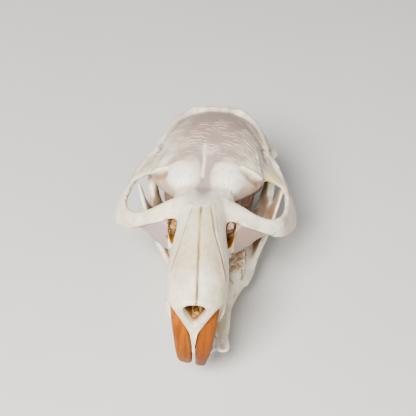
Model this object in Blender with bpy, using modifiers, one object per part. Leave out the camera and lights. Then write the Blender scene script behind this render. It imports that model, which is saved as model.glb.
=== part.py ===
"""A muskrat skull with its lower jaw, life size, resting on a flat floor.

Skull coordinates are millimetres: x to the animal's left, y back from the tips of the nasal
bones, z up from the bite plane, where the upper and lower cheek teeth meet. World coordinates
are metres, with the floor at z = 0 and the skull facing -y.
"""

import math

import bmesh
import bpy
from mathutils import Matrix, Vector

MM = 0.001
SIDES = {"left": 1, "right": -1}

# Driving sizes, in millimetres
BITE_HEIGHT = 13.4        # the bite plane above the floor
CENTRE_X = 0.2            # the middle of the whole skull, in skull coordinates
CENTRE_Y = 31.4
SNOUT_LEAN = 0.1          # the snout lies this far to the right of a straight midline
NAPE_LEAN = 1.3           # and the nape this far to its left
GAP = 0.3                 # kept between pieces that touch
BEYOND = 60.0             # the side of a box that stands for all beyond a plane
JAW_SWING = 6.0           # degrees that the lower jaw is swung to the animal's left
JAW_PIVOT_Y = 47.0        # the swing turns about this point, between the jaw joints

# Each bone is melted together at this grain, then thinned to its number of facets
GRAIN = 0.34
MELT_ROUNDS = 4
CRANIUM_FACETS = 5200
JAW_FACETS = 1500

# Where the cranium is parted
ARCH_CUT_X = 13.2
SNOUT_CUT_Y = 17.6

# Colours
BONE = (0.86, 0.83, 0.76)
CHEEK_BONE = (0.84, 0.82, 0.77)
SHADED_BONE = (0.74, 0.70, 0.64)
ENAMEL = (0.78, 0.36, 0.08)
WORN_ENAMEL = (0.72, 0.66, 0.58)


def world(point):
    """Skull millimetres to world metres."""
    x, y, z = point
    leaned = x + (NAPE_LEAN if y > 30 else SNOUT_LEAN) * (y - 30) / 30
    return Vector((leaned - CENTRE_X, y - CENTRE_Y, z + BITE_HEIGHT)) * MM


def swung(point):
    """A point of the lower jaw, swung to the left with it."""
    angle = math.radians(JAW_SWING)
    x, y, z = point
    ahead = JAW_PIVOT_Y - y
    return Vector((
        x * math.cos(angle) + ahead * math.sin(angle) - CENTRE_X,
        JAW_PIVOT_Y - ahead * math.cos(angle) + x * math.sin(angle) - CENTRE_Y,
        z + BITE_HEIGHT,
    )) * MM


def clear_scene():
    for obj in list(bpy.data.objects):
        bpy.data.objects.remove(obj)


def new_collection(name, shown=True):
    collection = bpy.data.collections.new(name)
    bpy.context.scene.collection.children.link(collection)
    collection.hide_render = not shown
    return collection


def material(name, colour, roughness):
    made = bpy.data.materials.new(name)
    made.use_nodes = True
    shader = made.node_tree.nodes["Principled BSDF"]
    shader.inputs["Base Color"].default_value = (*colour, 1.0)
    shader.inputs["Roughness"].default_value = roughness
    shader.inputs["Metallic"].default_value = 0.0
    return made


def object_of(name, bm, collection):
    """An object from a bmesh whose faces are turned outwards."""
    bm.normal_update()
    bmesh.ops.recalc_face_normals(bm, faces=bm.faces)
    mesh = bpy.data.meshes.new(name)
    bm.to_mesh(mesh)
    bm.free()
    obj = bpy.data.objects.new(name, mesh)
    collection.objects.link(obj)
    return obj


def curve_through(rows, at):
    """The row at a station number on a smooth curve through all the rows of values."""
    last = len(rows) - 1
    i = min(int(at), last - 1)
    t = at - i
    before, here = rows[max(i - 1, 0)], rows[i]
    after, beyond = rows[i + 1], rows[min(i + 2, last)]
    return [
        0.5 * (2 * b + (c - a) * t + (2 * a - 5 * b + 4 * c - d) * t * t
               + (3 * b - a - 3 * c + d) * t ** 3)
        for a, b, c, d in zip(before, here, after, beyond)
    ]


def rounded(angle, power):
    """Cosine and sine of a super-ellipse: power 2 is an ellipse, and more is squarer."""
    c, s = math.cos(angle), math.sin(angle)
    return (
        math.copysign(abs(c) ** (2 / power), c),
        math.copysign(abs(s) ** (2 / power), s),
    )


def sweep(name, stations, collection, steps=3, sides=16, caps=(0.0, 0.0), grow=0.0,
          place=world, facing=None):
    """A closed body through stations of (centre, wide way, half width, half thickness, power).

    A sixth value widens it towards one face. caps are the heights of the domed ends, grow
    fattens it all round, and facing keeps all its sections square to one direction."""
    rows = []
    for centre, wide, a, b, power, *flare in stations:
        rows.append([*centre, *Vector(wide).normalized(), a + grow, b + grow, power,
                     *(flare or [0.0])])
    last = len(rows) - 1
    frames = []
    for k in range(last * steps + 1):
        v = curve_through(rows, k / steps)
        ahead = Vector(curve_through(rows, min(k / steps + 0.02, last))[:3])
        behind = Vector(curve_through(rows, max(k / steps - 0.02, 0))[:3])
        along = Vector(facing) if facing else (ahead - behind).normalized()
        wide = Vector(v[3:6])
        wide = (wide - wide.dot(along) * along).normalized()
        frames.append((Vector(v[:3]), along, wide, v[6:], 1.0))
    domes = [[], []]
    for end, height in enumerate(caps):
        centre, along, wide, values, _ = frames[-end]
        outward = along if end else -along
        for turn in (math.radians(30), math.radians(60)):
            at = centre + outward * height * math.sin(turn)
            if height:
                domes[end].append((at, along, wide, values, math.cos(turn)))
    poles = (frames[0][0] - frames[0][1] * caps[0], frames[-1][0] + frames[-1][1] * caps[1])
    bm = bmesh.new()
    loops = []
    for centre, along, wide, (a, b, power, flare), scale in domes[0][::-1] + frames + domes[1]:
        thin = along.cross(wide)
        loop = []
        for k in range(sides):
            c, s = rounded(2 * math.pi * k / sides, power)
            across = scale * (c * a * (1 + flare * s) * wide + s * b * thin)
            loop.append(bm.verts.new(place(centre + across)))
        loops.append(loop)
    for one, two in zip(loops, loops[1:]):
        for k in range(sides):
            m = (k + 1) % sides
            bm.faces.new((one[k], one[m], two[m], two[k]))
    for loop, tip in zip((loops[0], loops[-1]), poles):
        pole = bm.verts.new(place(tip))
        for k in range(sides):
            bm.faces.new((loop[k], loop[(k + 1) % sides], pole))
    return object_of(name, bm, collection)


def hull(name, rows, collection, **shape):
    """A body across the midline, through rows of (y, half width, top, bottom, power, flare)."""
    stations = [
        ((0, y, (top + bottom) / 2), (1, 0, 0), half, (top - bottom) / 2, power, flare)
        for y, half, top, bottom, power, flare in rows
    ]
    return sweep(name, stations, collection, facing=(0, 1, 0), **shape)


def rod(name, rows, collection, **shape):
    """A round rod through rows of (x, y, z, radius)."""
    stations = [((x, y, z), (0.1, 0.3, 1.0), r, r, 2.0) for x, y, z, r in rows]
    return sweep(name, stations, collection, sides=12, **shape)


def ball(name, centre, radii, collection, turn=(0, 0, 0), place=world):
    """An ellipsoid, turned by angles in degrees about x, y and z."""
    bm = bmesh.new()
    bmesh.ops.create_uvsphere(bm, u_segments=16, v_segments=10, radius=1)
    spin = Matrix.Identity(3)
    for axis, angle in zip("XYZ", turn):
        spin = Matrix.Rotation(math.radians(angle), 3, axis) @ spin
    for vertex in bm.verts:
        out = Vector(r * c for r, c in zip(radii, vertex.co))
        vertex.co = place(Vector(centre) + spin @ out)
    return object_of(name, bm, collection)


def block(name, low, high, collection, turn=(0, 0, 0), place=world):
    """A box between two corners, turned about its middle."""
    bm = bmesh.new()
    bmesh.ops.create_cube(bm, size=1)
    middle = (Vector(low) + Vector(high)) / 2
    spin = Matrix.Identity(3)
    for axis, angle in zip("XYZ", turn):
        spin = Matrix.Rotation(math.radians(angle), 3, axis) @ spin
    for vertex in bm.verts:
        out = Vector((hi - lo) * c for lo, hi, c in zip(low, high, vertex.co))
        vertex.co = place(middle + spin @ out)
    return object_of(name, bm, collection)


def half_space(name, point, normal, collection, place=world):
    """A large box that fills the side of a plane to which its normal points."""
    bm = bmesh.new()
    bmesh.ops.create_cube(bm, size=BEYOND * MM)
    here = place(Vector(point))
    ahead = (place(Vector(point) + Vector(normal).normalized()) - here).normalized()
    spin = ahead.to_track_quat("Z", "Y").to_matrix()
    middle = here + ahead * BEYOND * MM / 2
    for vertex in bm.verts:
        vertex.co = middle + spin @ vertex.co
    return object_of(name, bm, collection)


def evaluated(obj):
    """Bakes an object's modifiers into its own mesh."""
    graph = bpy.context.evaluated_depsgraph_get()
    graph.update()
    mesh = bpy.data.meshes.new_from_object(obj.evaluated_get(graph))
    obj.modifiers.clear()
    obj.data = mesh
    return obj


def surfaces_of(bm):
    """The vertices of each separate surface, the largest first."""
    left = set(bm.verts)
    groups = []
    while left:
        front = [left.pop()]
        group = set(front)
        while front:
            for edge in front.pop().link_edges:
                for vertex in edge.verts:
                    if vertex not in group:
                        group.add(vertex)
                        front.append(vertex)
        left -= group
        groups.append(group)
    return sorted(groups, key=len, reverse=True)


def keep_surface(obj, number=0):
    """Drops all but one of an object's surfaces, counted from the largest."""
    bm = bmesh.new()
    bm.from_mesh(obj.data)
    kept = surfaces_of(bm)[number]
    loose = [v for v in bm.verts if v not in kept]
    bmesh.ops.delete(bm, geom=loose, context="VERTS")
    bm.to_mesh(obj.data)
    bm.free()
    return obj


def boolean(obj, collection, operation):
    """Joins a collection's objects to obj, or cuts them from it, and removes them."""
    modifier = obj.modifiers.new(operation.lower(), "BOOLEAN")
    modifier.operation = operation
    modifier.solver = "EXACT"
    modifier.operand_type = "COLLECTION"
    modifier.collection = collection
    evaluated(obj)
    for used in list(collection.objects):
        bpy.data.objects.remove(used)
    bpy.data.collections.remove(collection)
    return obj


def melted(obj):
    """Melts the joined pieces into one skin, as bone grows."""
    remesh = obj.modifiers.new("skin", "REMESH")
    remesh.mode = "VOXEL"
    remesh.voxel_size = GRAIN * MM
    melt = obj.modifiers.new("melt", "SMOOTH")
    melt.factor = 0.5
    melt.iterations = MELT_ROUNDS
    return keep_surface(evaluated(obj))


def thinned(obj, facets):
    """Merges facets until about this many triangles are left."""
    now = sum(len(face.vertices) - 2 for face in obj.data.polygons)
    fewer = obj.modifiers.new("fewer", "DECIMATE")
    fewer.ratio = facets / now
    fewer.use_collapse_triangulate = True
    return evaluated(obj)


# The cranium along its midline: rows of y, half width, top, bottom, squareness and flare
SNOUT = [
    (0.6, 4.5, 15.3, 8.0, 2.7, 0.02),
    (2.4, 5.4, 16.0, 5.4, 2.7, 0.02),
    (5.0, 5.9, 16.8, 4.7, 2.7, 0.03),
    (9.0, 6.2, 17.9, 4.7, 2.7, 0.06),
    (14.0, 6.1, 19.2, 5.6, 2.5, 0.12),
    (18.0, 5.7, 20.1, 5.4, 2.5, 0.14),
    (22.0, 5.4, 20.6, 5.0, 2.4, 0.0),
    (25.5, 6.1, 20.0, 5.0, 2.1, -0.35),
    (28.5, 5.9, 19.2, 6.0, 2.1, -0.5),
    (32.0, 5.0, 18.2, 7.0, 2.1, -0.5),
]
BRAINCASE = [
    (28.3, 3.3, 18.9, 12.4, 2.2, 0.10),
    (30.5, 6.0, 19.0, 12.0, 2.2, 0.12),
    (32.5, 8.4, 19.3, 11.4, 2.3, 0.12),
    (34.5, 10.5, 19.7, 10.8, 2.3, 0.12),
    (36.5, 11.7, 20.2, 10.0, 2.35, 0.12),
    (39.5, 12.0, 20.7, 7.0, 2.4, 0.12),
    (43.0, 11.8, 20.8, 4.6, 2.4, 0.16),
    (47.0, 11.8, 20.6, 4.2, 2.4, 0.20),
    (51.0, 12.0, 19.8, 3.9, 2.4, 0.26),
    (55.0, 12.0, 18.1, 3.8, 2.4, 0.33),
    (59.0, 11.1, 15.4, 4.0, 2.4, 0.38),
]
PALATE = [
    (21.5, 4.6, 9.0, 4.4, 2.8, 0.0),
    (25.0, 6.3, 9.6, 2.9, 3.0, 0.0),
    (31.0, 7.0, 10.0, 2.2, 3.2, 0.0),
    (38.0, 7.4, 9.8, 2.2, 3.2, 0.0),
    (43.0, 7.0, 9.4, 2.6, 2.8, 0.0),
    (47.0, 4.5, 8.8, 4.0, 2.4, 0.0),
]
# The crest where the roof of the skull turns down into the nape: x, y, z and radius
NAPE_CREST = [
    (0.0, 60.0, 15.3, 0.8), (3.4, 59.9, 15.2, 0.8), (6.0, 59.3, 14.8, 0.9),
    (8.8, 58.3, 12.4, 0.9), (11.6, 56.9, 9.0, 0.9), (12.8, 55.4, 6.4, 1.0),
    (12.8, 54.8, 4.6, 0.9),
]
# The opening in front of each eye: rows of x, y, z, half width and half height
CHEEK_OPENING = [
    (5.9, 16.6, 12.4, 0.5, 1.0), (5.8, 19.2, 13.0, 1.05, 2.3), (5.7, 22.0, 13.1, 1.25, 2.7),
    (5.7, 25.0, 12.1, 1.35, 2.6), (5.7, 29.0, 11.2, 1.4, 2.6),
]
# The low ridge along the middle of the roof: x, y, z and radius
ROOF_RIDGE = [
    (-0.5, 31.5, 18.9, 0.3), (-0.7, 35.0, 19.7, 0.4), (-0.9, 39.0, 20.4, 0.4),
    (-0.9, 42.5, 20.6, 0.35),
]


def arch_front(side):
    """The cheek arch from its root on the snout, out and round to its widest."""
    rows = [
        (3.8, 24.6, 17.4, 0.0, 0.75, 0.66, 2.6, 1.7),
        (7.4, 24.8, 15.5, 0.1, 0.72, 0.70, 2.2, 1.2),
        (10.8, 25.3, 13.2, 0.2, 0.66, 0.75, 1.8, 1.0),
        (14.0, 26.4, 11.0, 0.1, 0.5, 0.86, 1.9, 1.0),
        (16.8, 28.9, 9.0, -0.2, 0.25, 0.95, 2.4, 0.95),
        (18.4, 32.4, 7.6, -0.40, 0.1, 0.92, 2.9, 0.9),
        (18.7, 36.2, 7.1, -0.42, 0.0, 0.90, 2.9, 0.85),
        (17.9, 39.8, 7.6, -0.42, 0.0, 0.90, 2.5, 0.85),
        (16.4, 43.0, 8.9, -0.5, 0.3, 0.80, 2.0, 0.9),
        (14.0, 45.2, 9.9, -0.6, 0.6, 0.60, 2.4, 1.05),
        (11.0, 46.8, 11.2, -0.6, 0.7, 0.50, 3.0, 1.3),
    ]
    return [
        ((side * x, y, z), (side * wx, wy, wz), a, b, 2.4)
        for x, y, z, wx, wy, wz, a, b in rows
    ]


def arch_root(side):
    """The broad shelf behind, over the jaw joint, from the braincase out to the arch."""
    rows = [
        (10.6, 43.8, 13.2, 5.8, 1.7),
        (13.0, 43.2, 11.9, 4.9, 1.1),
        (15.0, 42.4, 10.5, 3.2, 0.85),
        (16.4, 41.8, 9.4, 1.8, 0.8),
    ]
    return [
        ((side * x, y, z), (side * -0.25, 1.0, -0.12), a, b, 2.4) for x, y, z, a, b in rows
    ]


def cheek_plate(side):
    """The upright plate beside the opening in front of the eye, below the arch's root."""
    rows = [
        (6.6, 20.9, 9.0, 1.7, 0.7),
        (8.2, 22.4, 10.9, 3.5, 0.75),
        (10.0, 23.8, 11.5, 3.3, 0.75),
        (11.8, 25.0, 11.3, 2.5, 0.75),
        (13.8, 26.2, 10.7, 1.6, 0.7),
    ]
    return [
        ((side * x, y, z), (side * -0.05, 0.1, 1.0), a, b, 2.5) for x, y, z, a, b in rows
    ]


def brow_peg(side):
    """The peg at the outer end of the brow, where the front of the braincase turns."""
    return [
        (side * 8.4, 37.8, 17.9, 1.0),
        (side * 10.3, 37.2, 16.8, 0.95),
        (side * 12.2, 36.6, 15.2, 0.55),
    ]


# The front teeth: rows of x, y and z of the middle, and half the depth from front to back
UPPER_INCISOR = [
    (3.55, 4.0, 12.6, 1.6),
    (3.15, 2.1, 8.0, 1.65),
    (2.7, 1.3, 4.0, 1.65),
    (2.3, 1.4, 0.0, 1.6),
    (2.0, 2.4, -3.6, 1.4),
    (1.85, 4.0, -7.4, 1.0),
]
LOWER_INCISOR = [
    (2.3, 15.4, -8.3, 1.4),
    (1.9, 12.0, -7.2, 1.45),
    (1.6, 8.6, -5.8, 1.35),
    (1.45, 5.4, -4.2, 0.95),
    (1.4, 4.4, -3.6, 0.7),
]
INCISOR_HALF_WIDTH = {"upper": 1.6, "lower": 1.4}
# The slanted rim where an upper front tooth leaves the bone: its outer, inner and rear points
SOCKET_RIM = ((5.1, 0.9, 14.2), (1.2, 0.2, 7.2), (3.0, 4.8, 4.4))
# The worn tips of the upper front teeth: the outer and inner ends of the edge, and the rear
WORN_TIP = {
    1: ((3.6, 2.0, -6.3), (0.3, 2.0, -7.0), (2.0, 5.0, -4.9)),
    -1: ((3.6, 2.0, -2.9), (0.5, 2.0, -5.3), (2.0, 5.0, -2.4)),
}


def incisor_stations(jaw, side):
    rows = UPPER_INCISOR if jaw == "upper" else LOWER_INCISOR
    half = INCISOR_HALF_WIDTH[jaw]
    return [((side * x, y, z), (1, 0, 0), half, depth, 3.2) for x, y, z, depth in rows]


def beyond(name, points, side, up, shift, collection):
    """All that lies above, or below, a slanted plane through three points."""
    a, b, c = (Vector((side * x, y, z)) for x, y, z in points)
    normal = (b - a).cross(c - a).normalized()
    if (normal.z > 0) != up:
        normal = -normal
    return half_space(name, a + shift * normal, normal, collection)


def cheek_teeth(jaw, side, collection):
    """The row of three molars: triangular prisms set to the left and right by turns."""
    upper = jaw == "upper"
    prisms = (3, 2, 2) if upper else (3, 2, 2)
    length = (6.6, 4.6, 4.6)
    y = 26.4 if upper else 23.7
    top, bottom = (5.0, 0.15) if upper else (-0.15, -5.0)
    place = world if upper else swung
    middle_front, middle_rear = (4.7, 5.5) if upper else (5.5, 6.9)
    start, whole = y, sum(length)
    for count, long in zip(prisms, length):
        pitch = long / count
        for k in range(2 * count):
            at = y + (k + 0.5) * pitch / 2
            x = middle_front + (middle_rear - middle_front) * (at - start) / whole
            x += 0.55 if k % 2 else -0.55
            bm = bmesh.new()
            bmesh.ops.create_cone(
                bm, cap_ends=True, segments=6, radius1=1, radius2=1, depth=1
            )
            for vertex in bm.verts:
                cx, cy, cz = vertex.co
                vertex.co = place((
                    side * (x + 1.05 * cx),
                    at + 0.47 * pitch * cy * (1.15 if k % 2 else 1.25),
                    bottom + (top - bottom) * (cz + 0.5),
                ))
            object_of(f"molar_{jaw}_{side}_{at:.1f}", bm, collection)
        y += long


def jaw_body(side):
    """The body of the lower jaw, from the front teeth's sockets back to the ramus."""
    rows = [
        (1.8, 11.0, -6.8, 0.0, 2.0, 1.75),
        (1.95, 13.6, -7.7, 0.0, 2.6, 1.85),
        (2.3, 17.2, -8.6, 0.0, 3.4, 1.7),
        (2.8, 20.8, -8.6, 0.1, 4.4, 1.8),
        (4.3, 24.4, -7.9, 0.22, 5.0, 2.2),
        (6.2, 28.5, -7.0, 0.28, 5.0, 2.8),
        (7.7, 34.0, -6.3, 0.2, 4.6, 2.6),
        (9.2, 39.0, -5.0, 0.1, 4.3, 2.0),
        (11.0, 43.0, -3.4, 0.0, 4.0, 1.2),
    ]
    return [((side * x, y, z), (side * tilt, 0, 1), a, b, 2.4) for x, y, z, tilt, a, b in rows]


def jaw_coronoid(side):
    """The blade in front of the joint, rising inside the cheek arch."""
    rows = [
        (9.2, 34.0, -5.6, 4.4, 1.7),
        (11.5, 35.8, -1.6, 4.2, 1.1),
        (13.4, 37.0, 2.2, 3.3, 0.8),
        (14.7, 38.4, 5.6, 2.1, 0.6),
        (15.2, 39.4, 7.6, 1.2, 0.5),
        (15.3, 39.9, 8.4, 0.6, 0.45),
    ]
    return [((side * x, y, z), (side * 0.1, 1, 0), a, b, 2.3) for x, y, z, a, b in rows]


def jaw_web(side):
    """The thin bone between the blade and the joint's stalk."""
    rows = [
        (10.4, 39.0, -4.0, 5.2, 1.3),
        (11.8, 41.0, -0.6, 5.0, 0.85),
        (12.9, 42.2, 1.8, 4.2, 0.7),
        (13.6, 42.6, 3.4, 2.4, 0.6),
    ]
    return [((side * x, y, z), (side * 0.12, 1, 0.1), a, b, 2.3) for x, y, z, a, b in rows]


def palate_wing(side):
    """The thin wing of bone behind the palate, beside the inner end of the nose passage."""
    rows = [(4.6, 43.0, 4.6, 1.5, 0.5), (3.2, 45.6, 3.6, 1.9, 0.5), (3.0, 49.0, 4.0, 1.3, 0.5)]
    return [((side * x, y, z), (side * 0.1, 0, 1), a, b, 2.4) for x, y, z, a, b in rows]


def jaw_condyle(side):
    """The stalk of the joint."""
    rows = [
        (10.6, 40.0, -3.6, 3.8, 1.3),
        (12.4, 43.2, 0.6, 2.8, 1.2),
        (13.3, 45.4, 3.8, 2.0, 1.2),
        (13.4, 47.2, 6.2, 1.4, 1.1),
    ]
    return [((side * x, y, z), (0, 1, 0.2), a, b, 2.2) for x, y, z, a, b in rows]


def joint(side, grow, collection):
    """The head and stalk of the jaw joint, or with grow the room for them."""
    sweep(
        f"stalk_{side}", jaw_condyle(side), collection, caps=(0.3, 0.3), grow=grow,
        place=swung,
    )
    ball(
        f"joint_{side}", (side * 13.3, 47.9, 6.9), [r + grow for r in (1.2, 2.0, 1.2)],
        collection, place=swung,
    )


def jaw_angle(side):
    """The hook behind and below, which flares outwards and stands on the floor."""
    rows = [
        (8.6, 37.5, -7.4, 4.0, 1.6),
        (11.6, 43.6, -8.4, 4.2, 1.0),
        (14.0, 49.0, -9.6, 4.1, 0.8),
        (15.5, 53.0, -10.4, 2.9, 0.7),
        (16.2, 55.6, -10.2, 1.3, 0.6),
    ]
    return [((side * x, y, z), (side * -0.2, 0, 1), a, b, 2.3) for x, y, z, a, b in rows]


def masseter_ridge(side):
    return [
        (side * 7.3, 24.3, -6.3, 0.8), (side * 8.6, 26.2, -4.9, 0.9),
        (side * 9.3, 27.8, -3.6, 0.85), (side * 10.5, 30.6, -1.9, 0.8),
        (side * 12.0, 33.2, 0.2, 0.8),
    ]


def build_cranium(collection):
    """The whole cranium in one skin, with its openings but without its teeth."""
    pieces = new_collection("cranium_pieces")
    cranium = hull("cranium", SNOUT, collection, sides=28, caps=(0.6, 2.0))
    hull("braincase_core", BRAINCASE, pieces, sides=32, caps=(1.0, 1.6))
    hull("palate_core", PALATE, pieces, sides=24, caps=(0.5, 1.0))
    for word, side in SIDES.items():
        sweep("arch_" + word, arch_front(side), pieces, sides=14)
        sweep("root_" + word, arch_root(side), pieces, sides=14)
        sweep("plate_" + word, cheek_plate(side), pieces, sides=14)
        sweep("wing_" + word, palate_wing(side), pieces, caps=(0.3, 0.4))
        rod("peg_" + word, brow_peg(side), pieces, caps=(0.3, 0.4))
        rod(
            "crest_" + word, [(side * x, y, z, r) for x, y, z, r in NAPE_CREST], pieces,
            caps=(0.4, 0.6),
        )
        sweep(
            "alveolus_" + word, incisor_stations("upper", side)[:4], pieces,
            caps=(0.3, 0.3), grow=0.3,
        )
        ball("dome_" + word, (side * 4.8, 34.4, 14.0), (4.2, 5.0, 5.7), pieces)
        ball(
            "condyle_" + word, (side * 3.3, 60.3, 5.3), (1.7, 2.8, 3.0), pieces,
            (0, side * 20, side * -12),
        )
        rod(
            "nape_process_" + word,
            [(side * 10.6, 57.0, 6.0, 1.6), (side * 10.6, 57.6, 3.4, 1.2),
             (side * 10.2, 57.9, 1.4, 0.7)],
            pieces, caps=(0.2, 0.4),
        )
    septum = [
        ((0, 2.6, 11.0), (1, 0, 0), 2.6, 2.6, 2.4),
        ((0, 2.4, 7.0), (1, 0, 0), 1.4, 2.2, 2.4),
        ((0, 2.2, 3.0), (1, 0, 0), 0.8, 1.7, 2.2),
        ((0, 2.4, 0.6), (1, 0, 0), 0.4, 1.2, 2.2),
    ]
    sweep("septum", septum, pieces, caps=(0.3, 0.3))
    ball("mastoid_bump", (12.9, 53.4, 8.3), (1.9, 1.6, 1.5), pieces)
    rod("roof_ridge", ROOF_RIDGE, pieces, caps=(0.3, 0.3))
    boolean(cranium, pieces, "UNION")
    cutters = new_collection("cranium_cutters", shown=False)
    nose = [
        ((0.1, -1.6, 11.5), (1, 0, 0), 2.4, 3.1, 2.8, -0.9),
        ((0.1, 1.6, 11.5), (1, 0, 0), 2.3, 3.0, 2.8, -0.9),
        ((0.1, 6.5, 12.2), (1, 0, 0), 1.8, 2.0, 2.4, -0.6),
    ]
    sweep("nose_opening", nose, cutters, caps=(0, 1.0))
    ball("nape_opening", (0, 63.0, 6.6), (3.1, 6.5, 2.9), cutters)
    for word, side in SIDES.items():
        cheek_opening = [
            ((side * x, y, z), (1, 0, 0), half, high, 2.6, -0.4)
            for x, y, z, half, high in CHEEK_OPENING
        ]
        sweep(
            "cheek_opening_" + word, cheek_opening, cutters, caps=(1.0, 0.5),
            facing=(0, 1, 0),
        )
        ball(
            "palate_slit_" + word, (side * 1.15, 15.0, 5.0), (0.75, 5.5, 2.2), cutters,
        )
    boolean(cranium, cutters, "DIFFERENCE")
    return thinned(melted(cranium), CRANIUM_FACETS)


def add_cheek_teeth(bone, jaw, sides):
    pieces = new_collection(bone.name + "_molars")
    for side in sides:
        cheek_teeth(jaw, side, pieces)
    return keep_surface(boolean(bone, pieces, "UNION"))


def front_tooth(name, jaw, side, collection, grow=0.0, open_front=0.0):
    """A front tooth, or the room for it, which may be open ahead and outwards."""
    stations = []
    for (x, y, z), wide, half, depth, power in incisor_stations(jaw, side):
        centre = (x + side * open_front / 2, y - open_front, z)
        stations.append((centre, wide, half + open_front / 2, depth + open_front, power))
    tooth = sweep(
        name, stations, collection, steps=2, sides=16, grow=grow, caps=(grow, grow),
        place=world if jaw == "upper" else swung,
    )
    if jaw == "lower":
        return tooth
    trims = new_collection(name + "_trims", shown=False)
    beyond("rim", SOCKET_RIM, side, True, grow, trims)
    if not grow:
        beyond("tip", WORN_TIP[side], side, False, 0.0, trims)
    return boolean(tooth, trims, "DIFFERENCE")


def cut_rooms(bone, jaw, sides):
    """Opens room for the front teeth and, above, for the jaw joints."""
    cutters = new_collection(bone.name + "_rooms", shown=False)
    for side in sides:
        front_tooth(
            f"room_{jaw}_{side}", jaw, side, cutters, GAP, 1.6 if jaw == "upper" else 0.0
        )
        if jaw == "upper":
            joint(side, 1.5 * GAP, cutters)
    return keep_surface(boolean(bone, cutters, "DIFFERENCE"))


def part_cranium(cranium, collection):
    """Parts the cranium with thin cuts into snout, braincase and two cheek arches."""
    cutters = new_collection("cuts", shown=False)
    block(
        "snout_cut", (-9, SNOUT_CUT_Y, -2), (9, SNOUT_CUT_Y + GAP, 24), cutters,
    )
    for side in SIDES.values():
        x = sorted((side * ARCH_CUT_X, side * (ARCH_CUT_X + GAP)))
        block(f"arch_cut_{side}", (x[0], 20, 4), (x[1], 51.4, 20), cutters)
    boolean(cranium, cutters, "DIFFERENCE")
    names = {}
    bm = bmesh.new()
    bm.from_mesh(cranium.data)
    for number, group in enumerate(surfaces_of(bm)[:4]):
        middle = sum((v.co for v in group), Vector()) / len(group)
        if abs(middle.x) > 0.008:
            names[number] = "zygomatic_arch_" + ("left" if middle.x > 0 else "right")
        else:
            ahead = middle.y < world((0, SNOUT_CUT_Y, 0)).y
            names[number] = "snout" if ahead else "braincase"
    bm.free()
    for number, name in names.items():
        piece = bpy.data.objects.new(name, cranium.data.copy())
        collection.objects.link(piece)
        keep_surface(piece, number)
    bpy.data.objects.remove(cranium)


def build_bulla(word, side, braincase, collection):
    """The hollow bone of the ear, seated in the underside of the braincase."""
    centre, radii, turn = (side * 7.6, 51.2, 3.2), (3.9, 5.4, 3.9), (0, 0, side * 24)
    bulla = ball("bulla_" + word, centre, radii, collection, turn)
    tube = new_collection("ear_tube_" + word)
    ear = [(side * 9.0, 52.4, 4.4, 1.9), (side * 12.2, 54.0, 5.4, 1.5)]
    rod("ear_" + word, ear, tube, caps=(0.2, 0.2))
    boolean(bulla, tube, "UNION")
    seat = new_collection("seat_" + word, shown=False)
    ball("seat_ball", centre, [r + GAP for r in radii], seat, turn)
    wider = [(x, y, z, r + GAP) for x, y, z, r in ear]
    rod("seat_ear", wider, seat, caps=(0.2 + GAP, 0.2 + GAP))
    keep_surface(boolean(braincase, seat, "DIFFERENCE"))
    return keep_surface(bulla)


def build_jaw(word, side, collection):
    pieces = new_collection("jaw_pieces_" + word)
    jaw = sweep(
        "mandible_" + word, jaw_body(side), collection, sides=20, caps=(0.4, 0.4),
        place=swung,
    )
    sweep("coronoid_" + word, jaw_coronoid(side), pieces, caps=(0.3, 0.3), place=swung)
    sweep("web_" + word, jaw_web(side), pieces, caps=(0.3, 0.3), place=swung)
    joint(side, 0.0, pieces)
    sweep("angle_" + word, jaw_angle(side), pieces, caps=(0.3, 0.4), place=swung)
    rod("ridge_" + word, masseter_ridge(side), pieces, caps=(0.4, 0.4), place=swung)
    ball("chin_" + word, (side * 1.5, 17.6, -9.2), (1.9, 5.4, 3.4), pieces, place=swung)
    boolean(jaw, pieces, "UNION")
    thinned(melted(jaw), JAW_FACETS)
    trims = new_collection("jaw_trims_" + word, shown=False)
    half_space("midline", (side * GAP / 2, 20, 0), (-side, 0, 0), trims, place=swung)
    half_space("floor", (0, 30, -BITE_HEIGHT), (0, 0, -1), trims, place=swung)
    boolean(jaw, trims, "DIFFERENCE")
    add_cheek_teeth(jaw, "lower", [side])
    return cut_rooms(jaw, "lower", [side])


def main():
    clear_scene()
    shown = new_collection("muskrat_skull")
    cranium = build_cranium(shown)
    add_cheek_teeth(cranium, "upper", SIDES.values())
    cut_rooms(cranium, "upper", SIDES.values())
    part_cranium(cranium, shown)
    for word, side in SIDES.items():
        build_bulla(word, side, bpy.data.objects["braincase"], shown)
        build_jaw(word, side, shown)
        for jaw in ("upper", "lower"):
            front_tooth(f"{jaw}_incisor_{word}", jaw, side, shown)
    looks = {
        "braincase": material("braincase_bone", BONE, 0.55),
        "snout": material("snout_bone", BONE, 0.5),
        "zygomatic": material("cheek_bone", CHEEK_BONE, 0.55),
        "bulla": material("ear_bone", SHADED_BONE, 0.6),
        "mandible": material("jaw_bone", CHEEK_BONE, 0.55),
        "upper": material("orange_enamel", ENAMEL, 0.3),
        "lower": material("worn_enamel", WORN_ENAMEL, 0.35),
    }
    for obj in shown.objects:
        obj.data.materials.clear()
        obj.data.materials.append(looks[obj.name.split("_")[0]])


main()
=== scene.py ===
"""The looks of a muskrat skull with its lower jaw, life size, resting on a flat floor.

Shapes are drawn in skull millimetres: x to the animal's left, y back from the tips of the nasal
bones, z up from the bite plane, where the upper and lower cheek teeth meet. Each piece is then
set in the frame, in metres.
"""

import itertools
import math

import bmesh
import bpy
import numpy as np
from mathutils import Matrix, Vector


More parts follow.
